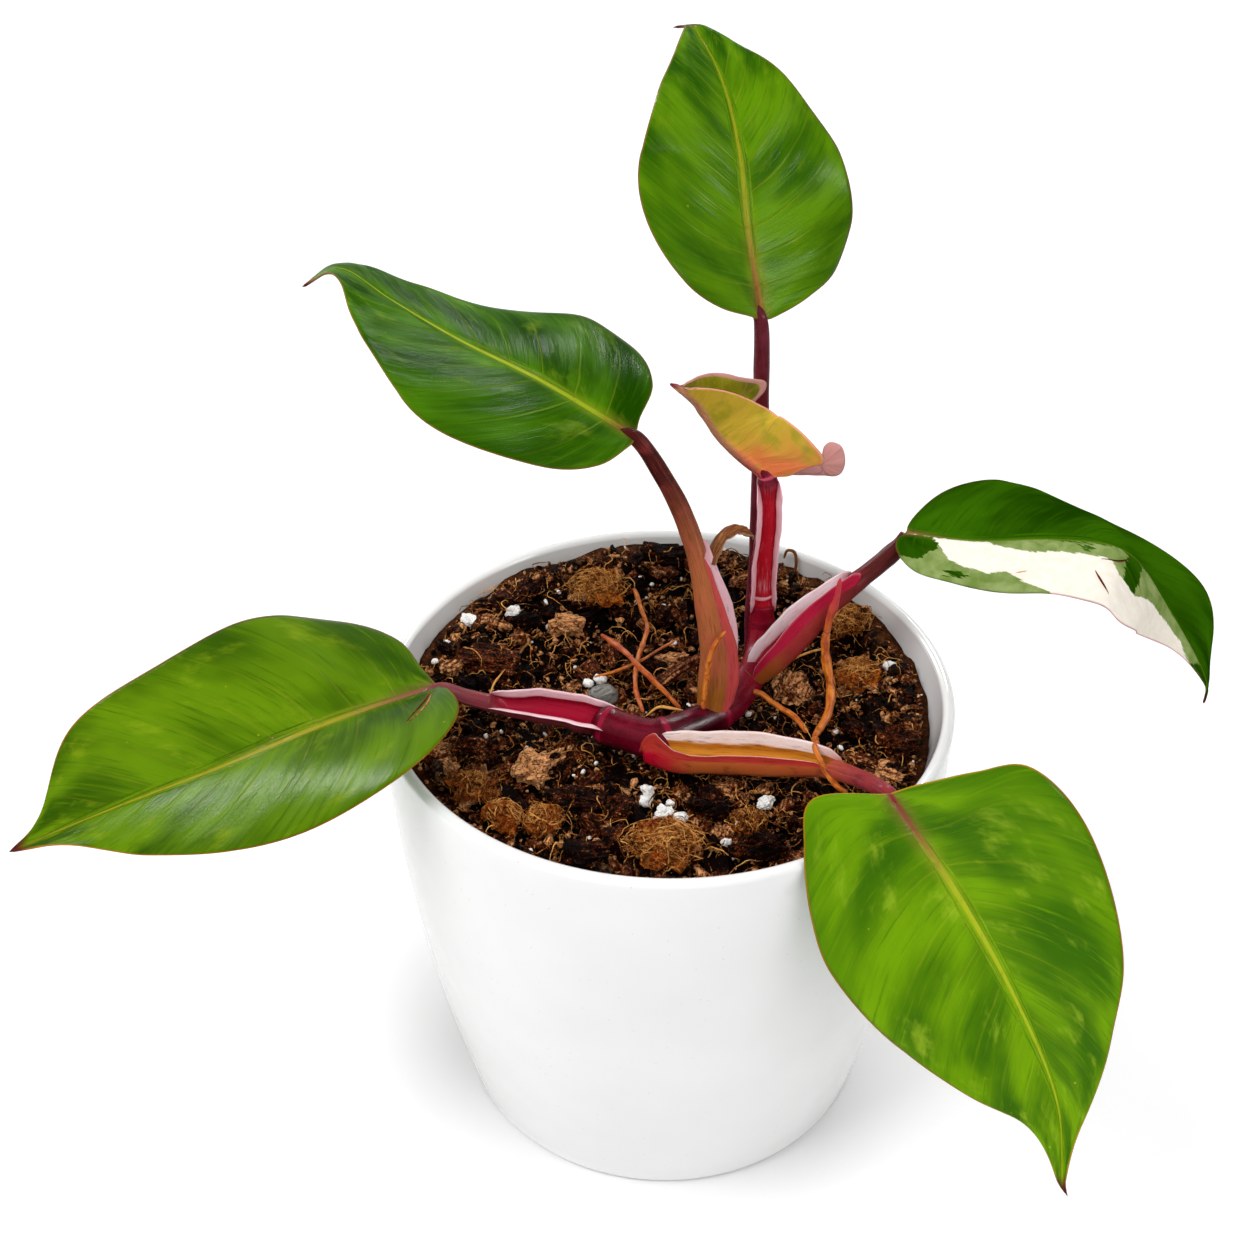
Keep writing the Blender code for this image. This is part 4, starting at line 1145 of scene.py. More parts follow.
def build_stalk(name, stalk, material):
    path = smooth_path(stalk.base + STALK_ROUTES[name] + stalk.top, STATIONS)
    tangent, sideways, upward = frames_along(path, stalk.opens)
    share = shares(STATIONS)
    scar = sum((bell(share, place, 0.006) for place in stalk.scars), np.zeros(STATIONS))
    radius = spread(stalk.radius, STATIONS) + 0.2 * scar
    length = path_length(path)
    rings, skin, around = [], [], []
    for index in range(STATIONS):
        inside = share[index] / max(stalk.ends, 1e-6)
        begun = min(inside / 0.08, 1.0) ** 0.5
        opened = begun * min(max(1 - inside, 0) / 0.16, 1.0) ** 0.6 if stalk.ends else 0.0
        along = min(inside, 1.0)
        closing = begun * min(max(1 - inside, 0) / 0.1, 1.0) ** 0.6
        heights = [closing * float(np.interp(along, shares(len(w)), w)) for w in (stalk.plus, stalk.minus)]
        outline, rise, outside, place = cross_section(radius[index], opened, heights, stalk.lean, stalk.depth)
        wobble = 1 + 0.02 * math.sin(share[index] * 23) + 0.012 * math.sin(share[index] * 57 + 1)
        ring = path[index] + wobble * (outline[:, :1] * sideways[index] + outline[:, 1:] * upward[index])
        forward = closing * min(max(inside - 0.6, 0) / 0.4, 1.0) ** 2
        backward = max(1 - inside / 0.13, 0)
        shifts = [forward * point - backward * hook for point, hook in zip(stalk.point, stalk.hook)]
        shift = np.where(place > 1.55, shifts[0], 0) + np.where(place < -1.55, shifts[1], 0)
        ring = ring + (shift * rise**1.4)[:, None] * tangent[index]
        rings.append(ring)
        pale = np.maximum(rise * (max(heights) > 0.3), (0.75 + 0.2 * np.sin(3 * place)) * scar[index])
        skin.append(np.column_stack([np.full(len(rise), share[index]), pale, outside]))
        around.append(np.column_stack([place, np.full(len(rise), share[index] * length), 0 * place]))
    rings, skin, around = np.array(rings), np.array(skin), np.array(around)
    piece = make_tube(name + "_skin", rings, material, "stalk", {"skin": skin, "round": around})
    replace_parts(piece, name)
    print(f"{name}: {len(piece.data.polygons)} faces, {length:.0f} mm long")


# %% Stalks
STALKS = {
    "stalk_left": (Stalk(
        base=[(-14.5, -7.6, 112.6)], top=[(-57.2, -8, 119.8), (-61.2, -9.8, 120)],
        radius=(3.4, 3.7, 3.4, 3.2, 2.6, 2.1, 1.9, 1.8, 1.6, 0.8), opens=(0, -0.35, 0.93), ends=0.57,
        plus=(4.4, 3.4, 2.6, 2.2, 1.9, 1.8, 1.6), minus=(2.4, 3.6, 3.8, 3.6, 2.6), lean=(58, 8),
        depth=0.45, point=(1, 1), hook=(1.5, 3),
    ), dict(
        Base="64182a", Base_reach=0.12, Body="7d3038", Top="7c3e42", Flush="9c2440", Inside="a01430",
        Pale="ffd6de", Pale_from=0.34,
    )),
    "stalk_front": (Stalk(
        base=[(-4.6, -17.6, 112.4)], top=[(48.8, -52.7, 126.2), (51.2, -54.5, 123.1)],
        radius=(3, 3.7, 3.6, 3.5, 3.4, 3.2, 2.7, 2.3, 2.1, 2, 1.8, 1.5, 0.8), opens=(0, 0.1, 1),
        ends=0.58, plus=(2.6, 4.4, 5.4, 5.7, 5.2, 4.2, 2.4),
        minus=(7, 6, 2.6, 1.7, 1.7, 1.9, 2, 2.1, 2.1, 2, 1.8, 1.5, 1.2, 0.9), lean=(-6, 4),
        depth=0.3, point=(4, 1), hook=(0, 1),
    ), dict(
        Base="b00a28", Base_reach=0.12, Body="b45c2c", Top="8c3038", Flush="b4362e", Inside="c47f28",
        Pale="fff0ee", Pale_from=0.36, Mottle=0.5, Blush=0.3, Hem=0,
    )),
    "stalk_upper": (Stalk(
        base=[(10.6, -4.6, 113.4)], top=[(-12, 9.5, 180.8), (-15.6, 10.5, 183.1)],
        radius=(3.6, 3.9, 3.8, 3.5, 3.1, 2.7, 2.4, 2.3, 2.2, 2.1, 1.9, 1.6, 0.8),
        opens=(0.92, 0.25, 0.1), ends=0.5, plus=(2.4, 3.7, 3.6, 2.5, 1.5, 0.8),
        minus=(3.2, 4.9, 5.6, 5.4, 3.5, 1.8), lean=(-6, 20), depth=0.5, point=(1, 9),
    ), dict(
        Base="9a6020", Base_reach=0.12, Body="ac623a", Top="3c0e0a", Flush="c04a48", Inside="b04048",
        Pale="ffd2dc", Pale_from=0.08, Mottle=0.45, Blush=0.3, Hem=0,
    )),
    "stalk_rear": (Stalk(
        base=[(22.3, 29.2, 104)], top=[(18.8, 32.6, 200.7), (18.2, 35.1, 205.7)],
        radius=(2.4, 2.4, 2.3, 2.2, 2.1, 2, 2, 1.9, 1.9, 1.6, 0.7), opens=(0, -1, 0.1),
    ), dict(
        Base="6a1f2c", Base_reach=0.2, Body="6b222e", Top="5c1c26", Flush="823042", Mottle=0.4,
        Blush=0.4,
    )),
    "stalk_right": (Stalk(
        base=[(20.8, 8.2, 114)], top=[(56.2, 20.6, 146.6)],
        radius=(3, 3.8, 4, 3.8, 3.4, 2.9, 2.6, 2.4, 2.3, 2.2, 1.4), opens=(-0.62, 0.02, 0.78),
        ends=0.66, plus=(1.8, 3.2, 3.8, 3.9, 3.2, 1.8), minus=(1.4, 2.6, 3.5, 3.6, 3.2, 2),
        lean=(2, -4), depth=0.4, point=(5, 9),
    ), dict(
        Base="985020", Base_reach=0.17, Body="983430", Top="4e1e1c", Flush="b01c3c", Inside="b52a40",
        Pale="fff2f6", Pale_from=0.14, Mottle=0.25, Blush=0.15, Hem=0.05,
    )),
    "stalk_new": (Stalk(
        base=[(23.4, 23.5, 122.6)], top=[(22.1, 21.9, 163.3), (21.1, 22.7, 164.6)],
        radius=(3.1, 3, 2.9, 2.9, 2.8, 2.7, 2.6, 2.6, 2.4, 1.2), opens=(0.12, -1, 0), ends=0.89,
        plus=(1.6, 2.6, 3.2, 3.2, 3.2), minus=(0.8, 1.1, 1.2, 1.6, 2.6), lean=(44, 40), depth=-0.3,
        point=(1, 1), scars=(0.10, 0.93),
    ), dict(
        Base="9c1c3a", Base_reach=0.14, Body="921a2e", Top="5c0a1a", Flush="c8506a", Inside="c01a2c",
        Pale="fbc8d2", Pale_from=0.08, Blush=0.2,
    )),
}
for name, (stalk, colours) in STALKS.items():
    build_stalk(name, stalk, stalk_material(name + "_colours", **colours))


# %% [markdown]
# ## How a blade is shaped
#
# A blade is a flat outline that has been folded along its midrib, curled, and twisted. It is described
# the way it grew: the midrib is a curve in space, each half rises from it by a fold angle and curls
# down again towards its margin, and the outline is measured along the midrib and out from it. Rays run
# from the midrib to the margin as the side veins do. So every point knows how far along and how far
# out it lies, and the finish grows its veins, blotches and margin from those numbers.

# %% Blade designs
@dataclass
class Leaf:
    """Sizes in mm and degrees. Edges are (along the midrib, out from it), from the stalk to the tip."""

    midrib: list
    face: tuple  # the way the upper side looks where the stalk joins
    twist: tuple  # turn about the midrib, from the stalk to the tip
    left_fold: tuple  # how far each half rises from flat, from the stalk to the tip
    right_fold: tuple
    arch: float  # how far each half curls down again for every 10 mm outward
    left_edge: list
    right_edge: list
    ripple: float = 0.5  # height of the long waves in the blade
    frill: float = 0.5  # height of the waves along the margin
    easing: int = 0  # how many times each point is drawn towards its neighbours along the blade


LEAVES = {
    "leaf_left": Leaf(
        midrib=[
            (-53.5, -6, 122), (-77.5, -17, 120), (-101.5, -25.5, 114), (-125.5, -31.5, 107),
            (-149.5, -37.5, 99),
        ],
        face=(-0.46, -0.07, 0.89), twist=(0, 16, 30), left_fold=(19, 22), right_fold=(15, 23), arch=5,
        left_edge=[(-1, 8), (1.5, 21), (13, 33), (28, 36), (50.5, 30.5), (72, 18.5), (91, 5.5)],
        right_edge=[(1, 7), (3, 20), (12, 32.5), (30, 37.5), (49.5, 34), (81, 22), (95, 5)],
    ),
    "leaf_front": Leaf(
        midrib=[
            (46, -53, 130), (61.5, -62.5, 109), (74.5, -72.5, 88), (84.5, -81.5, 66), (87, -90, 44.5),
        ],
        face=(-0.39, -0.74, 0.54), twist=(0, 3, 5), left_fold=(17, 17), right_fold=(26, 25), arch=5,
        left_edge=[(0.5, 7.5), (3.5, 19.5), (8, 30), (24, 33), (49.5, 27), (67.5, 16.5), (86.5, 4.5)],
        right_edge=[(-9, 14), (-1, 21.5), (13, 29), (27.5, 32), (49, 28.5), (69.5, 18.5), (88.5, 5.5)],
    ),
    "leaf_upper": Leaf(
        midrib=[
            (-7.5, 8, 180.5), (-28, 14.5, 191), (-47, 23, 197), (-62, 30, 203), (-73.5, 34.5, 208.5),
            (-82.5, 34.5, 204),
        ],
        face=(-0.02, -0.08, 1), twist=(0, -9, -19), left_fold=(7, 2), right_fold=(10, 1), arch=5,
        left_edge=[(0.5, 5), (4, 15), (13.5, 25.5), (26.5, 30.5), (42, 29), (59.5, 19.5), (74.5, 7.5)],
        right_edge=[(1.5, 5.5), (3, 17), (11, 27.5), (26.5, 30.5), (39.5, 24.5), (55, 14), (76.5, 7)],
    ),
    "leaf_rear": Leaf(
        midrib=[
            (20.5, 29.5, 198.5), (17.5, 39.5, 215), (15.5, 51.5, 229.5), (11.5, 64, 241.5),
            (4.5, 78, 250),
        ],
        face=(0.43, -0.26, 0.86), twist=(0, 15, 14), left_fold=(15, 12), right_fold=(10, 10), arch=5,
        left_edge=[(0.5, 3), (3.5, 13), (10, 22.5), (20, 27), (36.5, 25), (52, 18), (64, 9)],
        right_edge=[(0, 3.5), (3.5, 13.5), (9, 23), (20, 26.5), (36.5, 24), (50.5, 16.5), (63.5, 8)],
    ),
    "leaf_variegated": Leaf(
        midrib=[
            (56, 19.5, 148), (71.5, 12, 150.5), (88.5, 9, 153), (105.5, 8.5, 150), (118, 8.5, 133),
            (127.5, 2.5, 118), (129, 4.5, 108.5),
        ],
        face=(-0.21, -0.15, 0.97), twist=(0, 8, 6), left_fold=(-7, -17), right_fold=(-11, -15), arch=4,
        left_edge=[
            (-1, 1), (0.4, 11.9), (2.8, 21.8), (8.6, 30.7), (18, 34.6), (30, 35.5), (38, 33.5),
            (45, 28.4), (52, 21), (59, 21.6), (66, 23.7), (73, 24), (79, 20.5), (84, 13.4),
            (87.5, 7.8), (90, 4.4), (92.5, 2.4), (95.5, 1.5), (99.5, 0.9),
        ],
        right_edge=[
            (-2.4, 1.2), (-2.4, 3.4), (-0.8, 6), (5, 10.4), (13, 12.4), (22.5, 14), (34, 15.8),
            (45, 18.2), (55.5, 20.2), (66, 14.5), (74.7, 8.9), (82.6, 4), (87.2, 2.2), (91, 1.4),
            (95, 1), (99.5, 0.7),
        ],
        ripple=0.35, frill=0, easing=14,
    ),
    "leaf_new": Leaf(
        midrib=[(22.5, 21.5, 162.1), (12, 23, 171.5), (6, 19.5, 182.5), (0, 13, 191.5)],
        face=(0.72, -0.23, 0.65), twist=(0, -3, 6), left_fold=(80, 83, 85, 84),
        right_fold=(74, 78, 72, 34), arch=6,
        left_edge=[
            (-2.2, 3.2), (-3.2, 5.4), (-3.6, 9.8), (-4, 12.8), (-4.7, 16.2), (-3, 18.2), (-0.4, 19.1),
            (4.2, 19.3), (12, 18), (19.6, 15.8), (24, 13), (30, 8.2), (33.6, 4.6), (35.2, 1.5),
            (37.8, 0.8),
        ],
        right_edge=[
            (-4, 5), (-8.4, 8.6), (-8.6, 10.2), (-6, 10.4), (3.3, 10.8), (12, 9.4), (17.2, 10.4),
            (19, 14.6), (21.4, 15.8), (25.1, 12.5), (30.3, 7.8), (33.4, 4.2), (35.2, 1.4), (37.8, 0.8),
        ],
        ripple=0.2, frill=0,
    ),
}

# %% Blade surface
MIDRIB_POINTS = 121
ROWS = 110
HALF_COLUMNS = 22
COLUMN_POWER = 0.85  # how the columns crowd towards the margin
BLADE_THICKNESS = 0.55
GROOVE_DEPTH = 0.42  # of the midrib on the upper side
KEEL_HEIGHT = 1.15  # of the midrib below
VEIN_SWEEP = 0.95  # how strongly the side veins lean towards the tip
SIDE_VEINS = 11


def leaf_frames(leaf):
    """The midrib as points, with the directions along it, to its left and out of its upper side."""
    midrib = smooth_path(leaf.midrib, MIDRIB_POINTS)
    along, left, out = frames_along(midrib, leaf.face)
    turn = np.radians(np.interp(shares(MIDRIB_POINTS), [0, 0.5, 1], leaf.twist))[:, None]
    return midrib, along, left * np.cos(turn) - out * np.sin(turn), out * np.cos(turn) + left * np.sin(turn)


def place_on_leaf(leaf, frames, along_mm, across_mm, side):
    """Points of the flat blade put in space. side is 1 on the left half and -1 on the right."""
    midrib, tangent, left, out = frames
    length = path_length(midrib)
    share = np.clip(along_mm / length, 0, 1)
    stations = shares(len(midrib))
    base, ahead, sideways, upward = (
        np.stack([np.interp(share, stations, axis) for axis in table.T], -1)
        for table in (midrib, tangent, left, out)
    )
    fold = leaf.left_fold if side > 0 else leaf.right_fold
    rise = np.radians(np.interp(share, shares(len(fold)), fold))
    bend = math.radians(leaf.arch) / 10
    reach = (np.sin(rise) - np.sin(rise - bend * across_mm)) / bend
    lift = (np.cos(rise - bend * across_mm) - np.cos(rise)) / bend
    beyond = (along_mm - share * length)[..., None]
    return base + ahead * beyond + sideways * (side * reach)[..., None] + upward * lift[..., None]


def flat_blade(leaf):
    """The blade before it gets waves and thickness: points, and for each the numbers of its place."""
    frames = leaf_frames(leaf)
    length = path_length(frames[0])
    outward = shares(HALF_COLUMNS + 1) ** COLUMN_POWER
    start = (length * shares(ROWS + 1))[:, None]
    halves = []
    for side, edge in ((1, leaf.left_edge), (-1, leaf.right_edge)):
        margin = smooth_path([(0, 0)] + edge + [(length, 0)], ROWS + 1)
        margin[:, 1] = np.maximum(margin[:, 1], 0)
        along = start + (margin[:, :1] - start) * outward
        across = margin[:, 1:] * outward
        points = place_on_leaf(leaf, frames, along, across, side)
        for _ in range(leaf.easing):
            points[1:-1] = (points[:-2] + 2 * points[1:-1] + points[2:]) / 4
        to_margin = np.hypot(margin[:, :1] - start, margin[:, 1:]) * (1 - outward)
        halves.append((points, side * across, np.broadcast_to(side * outward, across.shape), to_margin))
    joined = [np.concatenate([a[:, :0:-1], b], axis=1) for a, b in zip(*halves)]
    share = np.broadcast_to(shares(ROWS + 1)[:, None], joined[1].shape)
    return joined[0], share, joined[2], joined[1], joined[3], length


def surface_normals(grid, toward):
    """Unit normals of a grid of points, on the side that toward points to."""
    normal = np.cross(np.gradient(grid, axis=1), np.gradient(grid, axis=0))
    normal[0], normal[-1] = normal[1], normal[-2]
    normal = unit(normal)
    return normal if (normal * toward).sum() > 0 else -normal


def vein_place(share, outward):
    """Where on the midrib the side vein through this point starts, as a share of the midrib."""
    return share - VEIN_SWEEP * share * (1 - share) ** 0.7 * np.abs(outward) ** 0.85


def blade_waves(leaf, share, outward, across):
    """Height in mm of the long waves of the blade and of the frill along its margin."""
    vein = vein_place(share, outward)
    flat = np.column_stack([vein.ravel() * 7, outward.ravel() * 1.1, np.sign(outward).ravel() * 3])
    long_wave = wavy(flat, 1.0, seed=len(leaf.midrib) + leaf.arch).reshape(share.shape)
    quilt = np.cos(2 * np.pi * SIDE_VEINS * vein) * np.abs(outward) * (1 - np.abs(outward)) * 4
    frill = np.sin(2 * np.pi * (3.3 * share + 0.21 * np.sign(outward))) * np.abs(outward) ** 4
    fade = np.clip(share / 0.1, 0, 1) * np.clip((1 - share) / 0.12, 0, 1)
    calm = np.clip(np.abs(across) / 4, 0, 1)
    return fade * calm * (leaf.ripple * long_wave + 0.10 * quilt + leaf.frill * frill)


SURFACES = {}  # the upper side of each blade that has been built: a grid of points and its normals


def build_blade(name, leaf, upper, under, slot, bend=None, patch=None):
    """The blade as a closed thin solid, with a grooved midrib above and a round keel below."""
    middle, share, outward, across, to_margin, length = flat_blade(leaf)
    toward = leaf_frames(leaf)[3].mean(axis=0)
    normal = surface_normals(middle, toward)
    middle = middle + normal * blade_waves(leaf, share, outward, across)[..., None]
    if bend is not None:
        middle = bend(middle, normal, share, outward)
    normal = surface_normals(middle, toward)
    rim = np.sqrt(np.clip(1 - np.abs(outward) ** 10, 0, 1))
    rib = (1 - share) ** 0.6
    groove = GROOVE_DEPTH * rib * bell(across, 0, 0.75)
    keel = KEEL_HEIGHT * rib * bell(across, 0, 0.35 + 0.9 * rib)
    above = middle + normal * (rim * BLADE_THICKNESS / 2 - groove)[..., None]
    SURFACES[name] = above, normal
    below = middle - normal * (rim * BLADE_THICKNESS / 2 + keel)[..., None]
    rows, columns = share.shape[0] - 2, share.shape[1]
    inner = slice(1, -1)

    def stacked(upper_side, lower_side, ends):
        tables = upper_side[inner].reshape(-1, 3), lower_side[inner, inner].reshape(-1, 3)
        return np.vstack([*tables, ends[[0, -1], HALF_COLUMNS]])

    place = np.stack([share, outward, across], -1)
    vein = np.stack([vein_place(share, outward), to_margin, np.sign(outward)], -1)
    tables = {"leaf": place, "vein": vein}
    if patch is not None:
        tables["patch"] = patch(share, outward, across)
    stored = {label: stacked(table, table, table) for label, table in tables.items()}
    top = np.arange(rows * columns).reshape(rows, columns)
    low = top.copy()
    low[:, inner] = rows * columns + np.arange(rows * (columns - 2)).reshape(rows, columns - 2)
    base = rows * columns + rows * (columns - 2)
    faces, kinds = [], []
    for kind, index, flip in ((0, top, False), (1, low, True)):
        for row in range(rows - 1):
            for column in range(columns - 1):
                a, b = index[row, column], index[row, column + 1]
                face = (a, index[row + 1, column], index[row + 1, column + 1], b)
                faces.append(face[::-1] if flip else face)
                kinds.append(kind)
        for column in range(columns - 1):
            start = (base, index[0, column], index[0, column + 1])
            end = (base + 1, index[-1, column + 1], index[-1, column])
            faces += [start[::-1], end[::-1]] if flip else [start, end]
            kinds += [kind, kind]
    piece = make_piece(name, stacked(above, below, middle), faces, [upper, under], slot, stored, kinds)
    fix_outward(piece)
    print(f"{name}: {len(faces)} faces, midrib {length:.0f} mm")
    return piece


# %% [markdown]
# ## What makes a leaf green
#
# Broad patches follow the side veins, fine streaks run between them, each side vein is a slightly paler
# thread, the midrib is a yellow-green line that turns pink towards the stalk, the margin is a fine
# reddish hem and the drip tip is brown. All leaves share these layers, so they are one node group, and
# each leaf sets its own colours. A painted picture would blur close up, and a formula stays sharp.


# %% Leaf pattern group
def make_leaf_pattern():
    shade, given = new_group(
        "leaf_pattern", Deep="2f5a04", Bright="6f9a12", Blotch="9ab51a", Blotches=0.3, Rib="9aa630",
        Rib_base="9a5a50", Pink_reach=0.15, Rib_width=1, Threads=0.3, Hem="a0602f", Tip="5a1f18", Shift=0,
    )
    share, outward, across = shade.attribute("leaf")
    vein, to_margin, half = shade.attribute("vein")
    seed = shade.times(half, 4, given["Shift"])
    out = shade.math("ABSOLUTE", outward)
    broad = shade.noise(shade.vector(shade.times(vein, 6), outward, seed), detail=3, roughness=0.5)
    patches, middle = shade.step(broad, 0.34, 0.68), shade.step(out, 0, 0.4, 0.25, 0)
    base = shade.mix(shade.math("ADD", patches, middle, clamp=True), given["Deep"], given["Bright"])
    streak_place = shade.vector(shade.times(vein, 110), shade.times(out, 1.6), seed)
    streak = shade.noise(streak_place, detail=4, roughness=0.7)
    base = shade.mix(shade.step(streak, 0.52, 0.72, 0, 0.5), base, given["Bright"])
    base = shade.mix(shade.step(streak, 0.3, 0.48, 0.55, 0), base, given["Deep"])
    blotch_place = shade.vector(shade.times(vein, 13), shade.times(out, 3), seed)
    blotch = shade.step(shade.noise(blotch_place, detail=4, roughness=0.62), 0.54, 0.74)
    base = shade.mix(shade.times(blotch, given["Blotches"]), base, given["Blotch"])
    wander = shade.stir(shade.times(vein, float(SIDE_VEINS)), broad, 0.5)
    line = shade.math("PINGPONG", wander, 0.5)
    thread = shade.times(shade.step(line, 0, 0.045, 1, 0), shade.step(out, 0.1, 0.95, 0.7, 0.1))
    base = shade.mix(shade.times(thread, given["Threads"]), base, given["Rib"])
    width = shade.times(shade.step(share, 0, 0.85, 1, 0.25), given["Rib width"])
    rib_distance = shade.math("DIVIDE", shade.math("ABSOLUTE", across), width)
    rib = shade.step(rib_distance, 0.4, 1.15, 1, 0)
    pink = shade.math("DIVIDE", share, shade.math("MAXIMUM", given["Pink reach"], 0.001))
    pink = shade.step(shade.stir(pink, streak, 0.3), 0.2, 1.2, 1, 0)
    rib_colour = shade.mix(pink, given["Rib"], given["Rib base"])
    glow = shade.times(shade.step(rib_distance, 0.6, 4, 0.28, 0), shade.step(share, 0, 0.9, 1, 0.1))
    base = shade.mix(glow, base, rib_colour)
    base = shade.mix(shade.times(rib, 0.92), base, rib_colour)
    freckle = shade.step(shade.cells(shade.place(), 0.11), 0.02, 0.045, 0.7, 0)
    base = shade.mix(freckle, base, given["Blotch"])
    base = shade.mix(shade.step(to_margin, 0.12, 0.55, 0.9, 0), base, given["Hem"])
    base = shade.mix(shade.step(share, 0.945, 0.985), base, given["Tip"])
    crease_place = shade.vector(shade.times(vein, 30), shade.times(out, 2.2), seed)
    crease = shade.noise(crease_place, detail=2, roughness=0.5)
    ridge = shade.times(streak, 0.7, shade.times(thread, -0.8, shade.times(crease, 2.6)))
    shade.finish(Colour=base, Height=ridge, Gloss=shade.times(broad, 0.5, shade.times(streak, 0.5)))
    return shade.tree


leaf_pattern = make_leaf_pattern()
print("leaf pattern:", len(leaf_pattern.nodes), "nodes")


def finish_leaf(shade, base, pattern, roughness):
    """Links a leaf's colour, and gives it a fine relief along the veins and an uneven gloss."""
    pores = shade.noise(scale=2.2, detail=2)
    height = shade.times(pores, 0.25, pattern["Height"])
    return shade.surface(base, shade.step(pattern["Gloss"], 0.3, 0.75, *roughness), height, 0.16, 0.8)


def leaf_material(name, gloss, roughness=(0.15, 0.29), **values):
    """A waxy green skin, made of the shared pattern alone."""
    shade = new_material(name, Specular_IOR_Level=gloss)
    pattern = shade.use(leaf_pattern, **values)
    return finish_leaf(shade, pattern["Colour"], pattern, roughness)


# %% [markdown]
# ## Four green blades
#
# The grown leaves differ in age: the left and front ones are yellow-green, the upper and rear ones are
# deeper. The underside is paler and duller, with the same veins.

# %% Green blades
green_under = leaf_material(
    "leaf_underside", 0.05, roughness=(0.5, 0.65), Deep="4a6a22", Bright="6f8f3a", Blotches=0.1,
    Rib="94a558", Rib_base="8a504a", Hem="7d5a3f", Rib_width=1.3,
)
GREENS = {  # gloss, and the colours of the pattern
    "leaf_left": dict(
        gloss=0.022, Deep="2c4e01", Bright="618608", Blotch="90a41c", Blotches=0.4, Rib="a09428",
        Rib_base="96584a", Pink_reach=0.22, Hem="b8701c", Threads=0.2, Shift=1,
    ),
    "leaf_front": dict(
        gloss=0.05, Deep="376600", Bright="72a004", Blotch="a4c02c", Blotches=0.5,
        Rib="b0bc24", Rib_base="93523f", Pink_reach=0.24, Hem="b88a18", Threads=0.2, Shift=2,
    ),
    "leaf_upper": dict(
        gloss=0.013, Deep="1c4200", Bright="477806", Blotch="7c9c1c", Blotches=0.4, Rib="a2b022",
        Rib_base="8a5a30", Pink_reach=0.12, Hem="93702c", Shift=3,
    ),
    "leaf_rear": dict(
        gloss=0.025, Deep="265200", Bright="5c8a04", Blotch="7c9a10", Blotches=0.3, Rib_width=1.1,
        Rib="98991c", Rib_base="a06a3a", Pink_reach=0.3, Hem="8f6a30", Shift=4,
    ),
}


def hook(distance, start):
    """A bend that turns the drip tip of a blade towards a direction, in mm."""

    def bend(points, normal, share, outward):
        amount = np.clip((share - start) / (1 - start), 0, 1) ** 1.6
        return points + amount[..., None] * np.array(distance)

    return bend


TIPS = {"leaf_rear": hook((-3.6, -0.5, -2.2), 0.955), "leaf_front": hook((1.2, 0, -0.4), 0.97)}
for name, colours in GREENS.items():
    skin = leaf_material(name + "_skin", **colours)
    blade = build_blade(name + "_blade", LEAVES[name], skin, green_under, "leaf", TIPS.get(name))
    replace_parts(blade, name)

# %% [markdown]
# ## The variegated blade
#
# Half of this blade has lost its green. The loss follows cell lines, so the patches are long, run with
# the veins and end in ragged steps. The mesh stores how far each point lies inside the white and inside
# the dark patches, in millimetres, and the finish cuts these fields with a ragged edge, which stays
# crisp, where colours painted on mesh points would blur. The weak white tissue has shrunk, so this half
# is puckered, and has torn in three thin brown slits.

# %% Variegated blade
VARIEGATED_LENGTH = 96.0
RIB_BAND = [  # where the white begins, as (share of the midrib, share of the way out)
    (0.06, 0.12), (0.073, 0.04), (0.09, 0), (0.19, 0), (0.236, 0.16), (0.3, 0.25), (0.39, 0.24),
    (0.47, 0.26), (0.5, 0.45), (0.57, 0.5), (0.64, 0.34), (0.72, 0.26), (0.8, 0.3), (0.87, 0.9),
]
EDGE_BAND = [  # where it ends; above 1 it reaches the margin
    (0.06, 0.02), (0.1, 0.23), (0.155, 0.51), (0.182, 0.6), (0.2, 0.64), (0.245, 0.68), (0.273, 0.63),
    (0.3, 0.72), (0.345, 0.88), (0.382, 1.02), (0.45, 1.2), (0.85, 1.2), (0.9, 0.6),
]


def variegation(share, outward, across):
    """For each point: mm inside the white patch, and mm inside the dark green."""
    out = np.abs(outward)
    near = outward < 0
    breadth = np.maximum(np.abs(across) / np.maximum(out, 0.04), 1.0)
    rib_band = np.interp(share, *zip(*RIB_BAND))
    edge_band = np.interp(share, *zip(*EDGE_BAND))
    white = np.minimum(out - rib_band, edge_band - out) * breadth
    white = np.where(near, white, -6.0)
    dark = np.where(near, -6.0, 6.0)
    along = share * VARIEGATED_LENGTH
    lobe = 10.94 - along - 2.0 * np.maximum(out - 0.75, 0) * breadth
    tip = along - 83.04
    pleat = np.minimum(2.6 - np.abs(along - 51.94), (0.6 - out) * breadth)
    spots = [(19.2, 0.8, 2.0, 1.1), (40.13, 0.13, 1.6, 0.7)]
    marks = [(1 - np.hypot((along - mm) / a, (out - o) * breadth / b)) * b for mm, o, a, b in spots]
    for field in (lobe, tip, pleat, *marks):
        dark = np.where(near, np.maximum(dark, field), dark)
    on_rib = out < 0.001
    return np.stack([np.where(on_rib, -0.3, white), np.where(on_rib, 0.6, dark), 0 * share], -1)


def pucker(points, normal, share, outward):
    """The shrunken half: a pleat where the blade bends, and a wavy margin."""
    out = np.abs(outward) * (outward < 0)
    pleat = 0.9 * bell(share, 0.47, 0.035) - 0.6 * bell(share, 0.56, 0.04)
    waves = 0.8 * np.sin(share * 31 + 2 * out)
    waves *= np.clip((share - 0.1) / 0.1, 0, 1) * np.clip((0.9 - share) / 0.1, 0, 1)
    fold = 0.9 * bell(out, 0.78, 0.08) * bell(share, 0.26, 0.07)
    return points + (normal * (out * pleat + out**2 * waves - fold)[..., None])


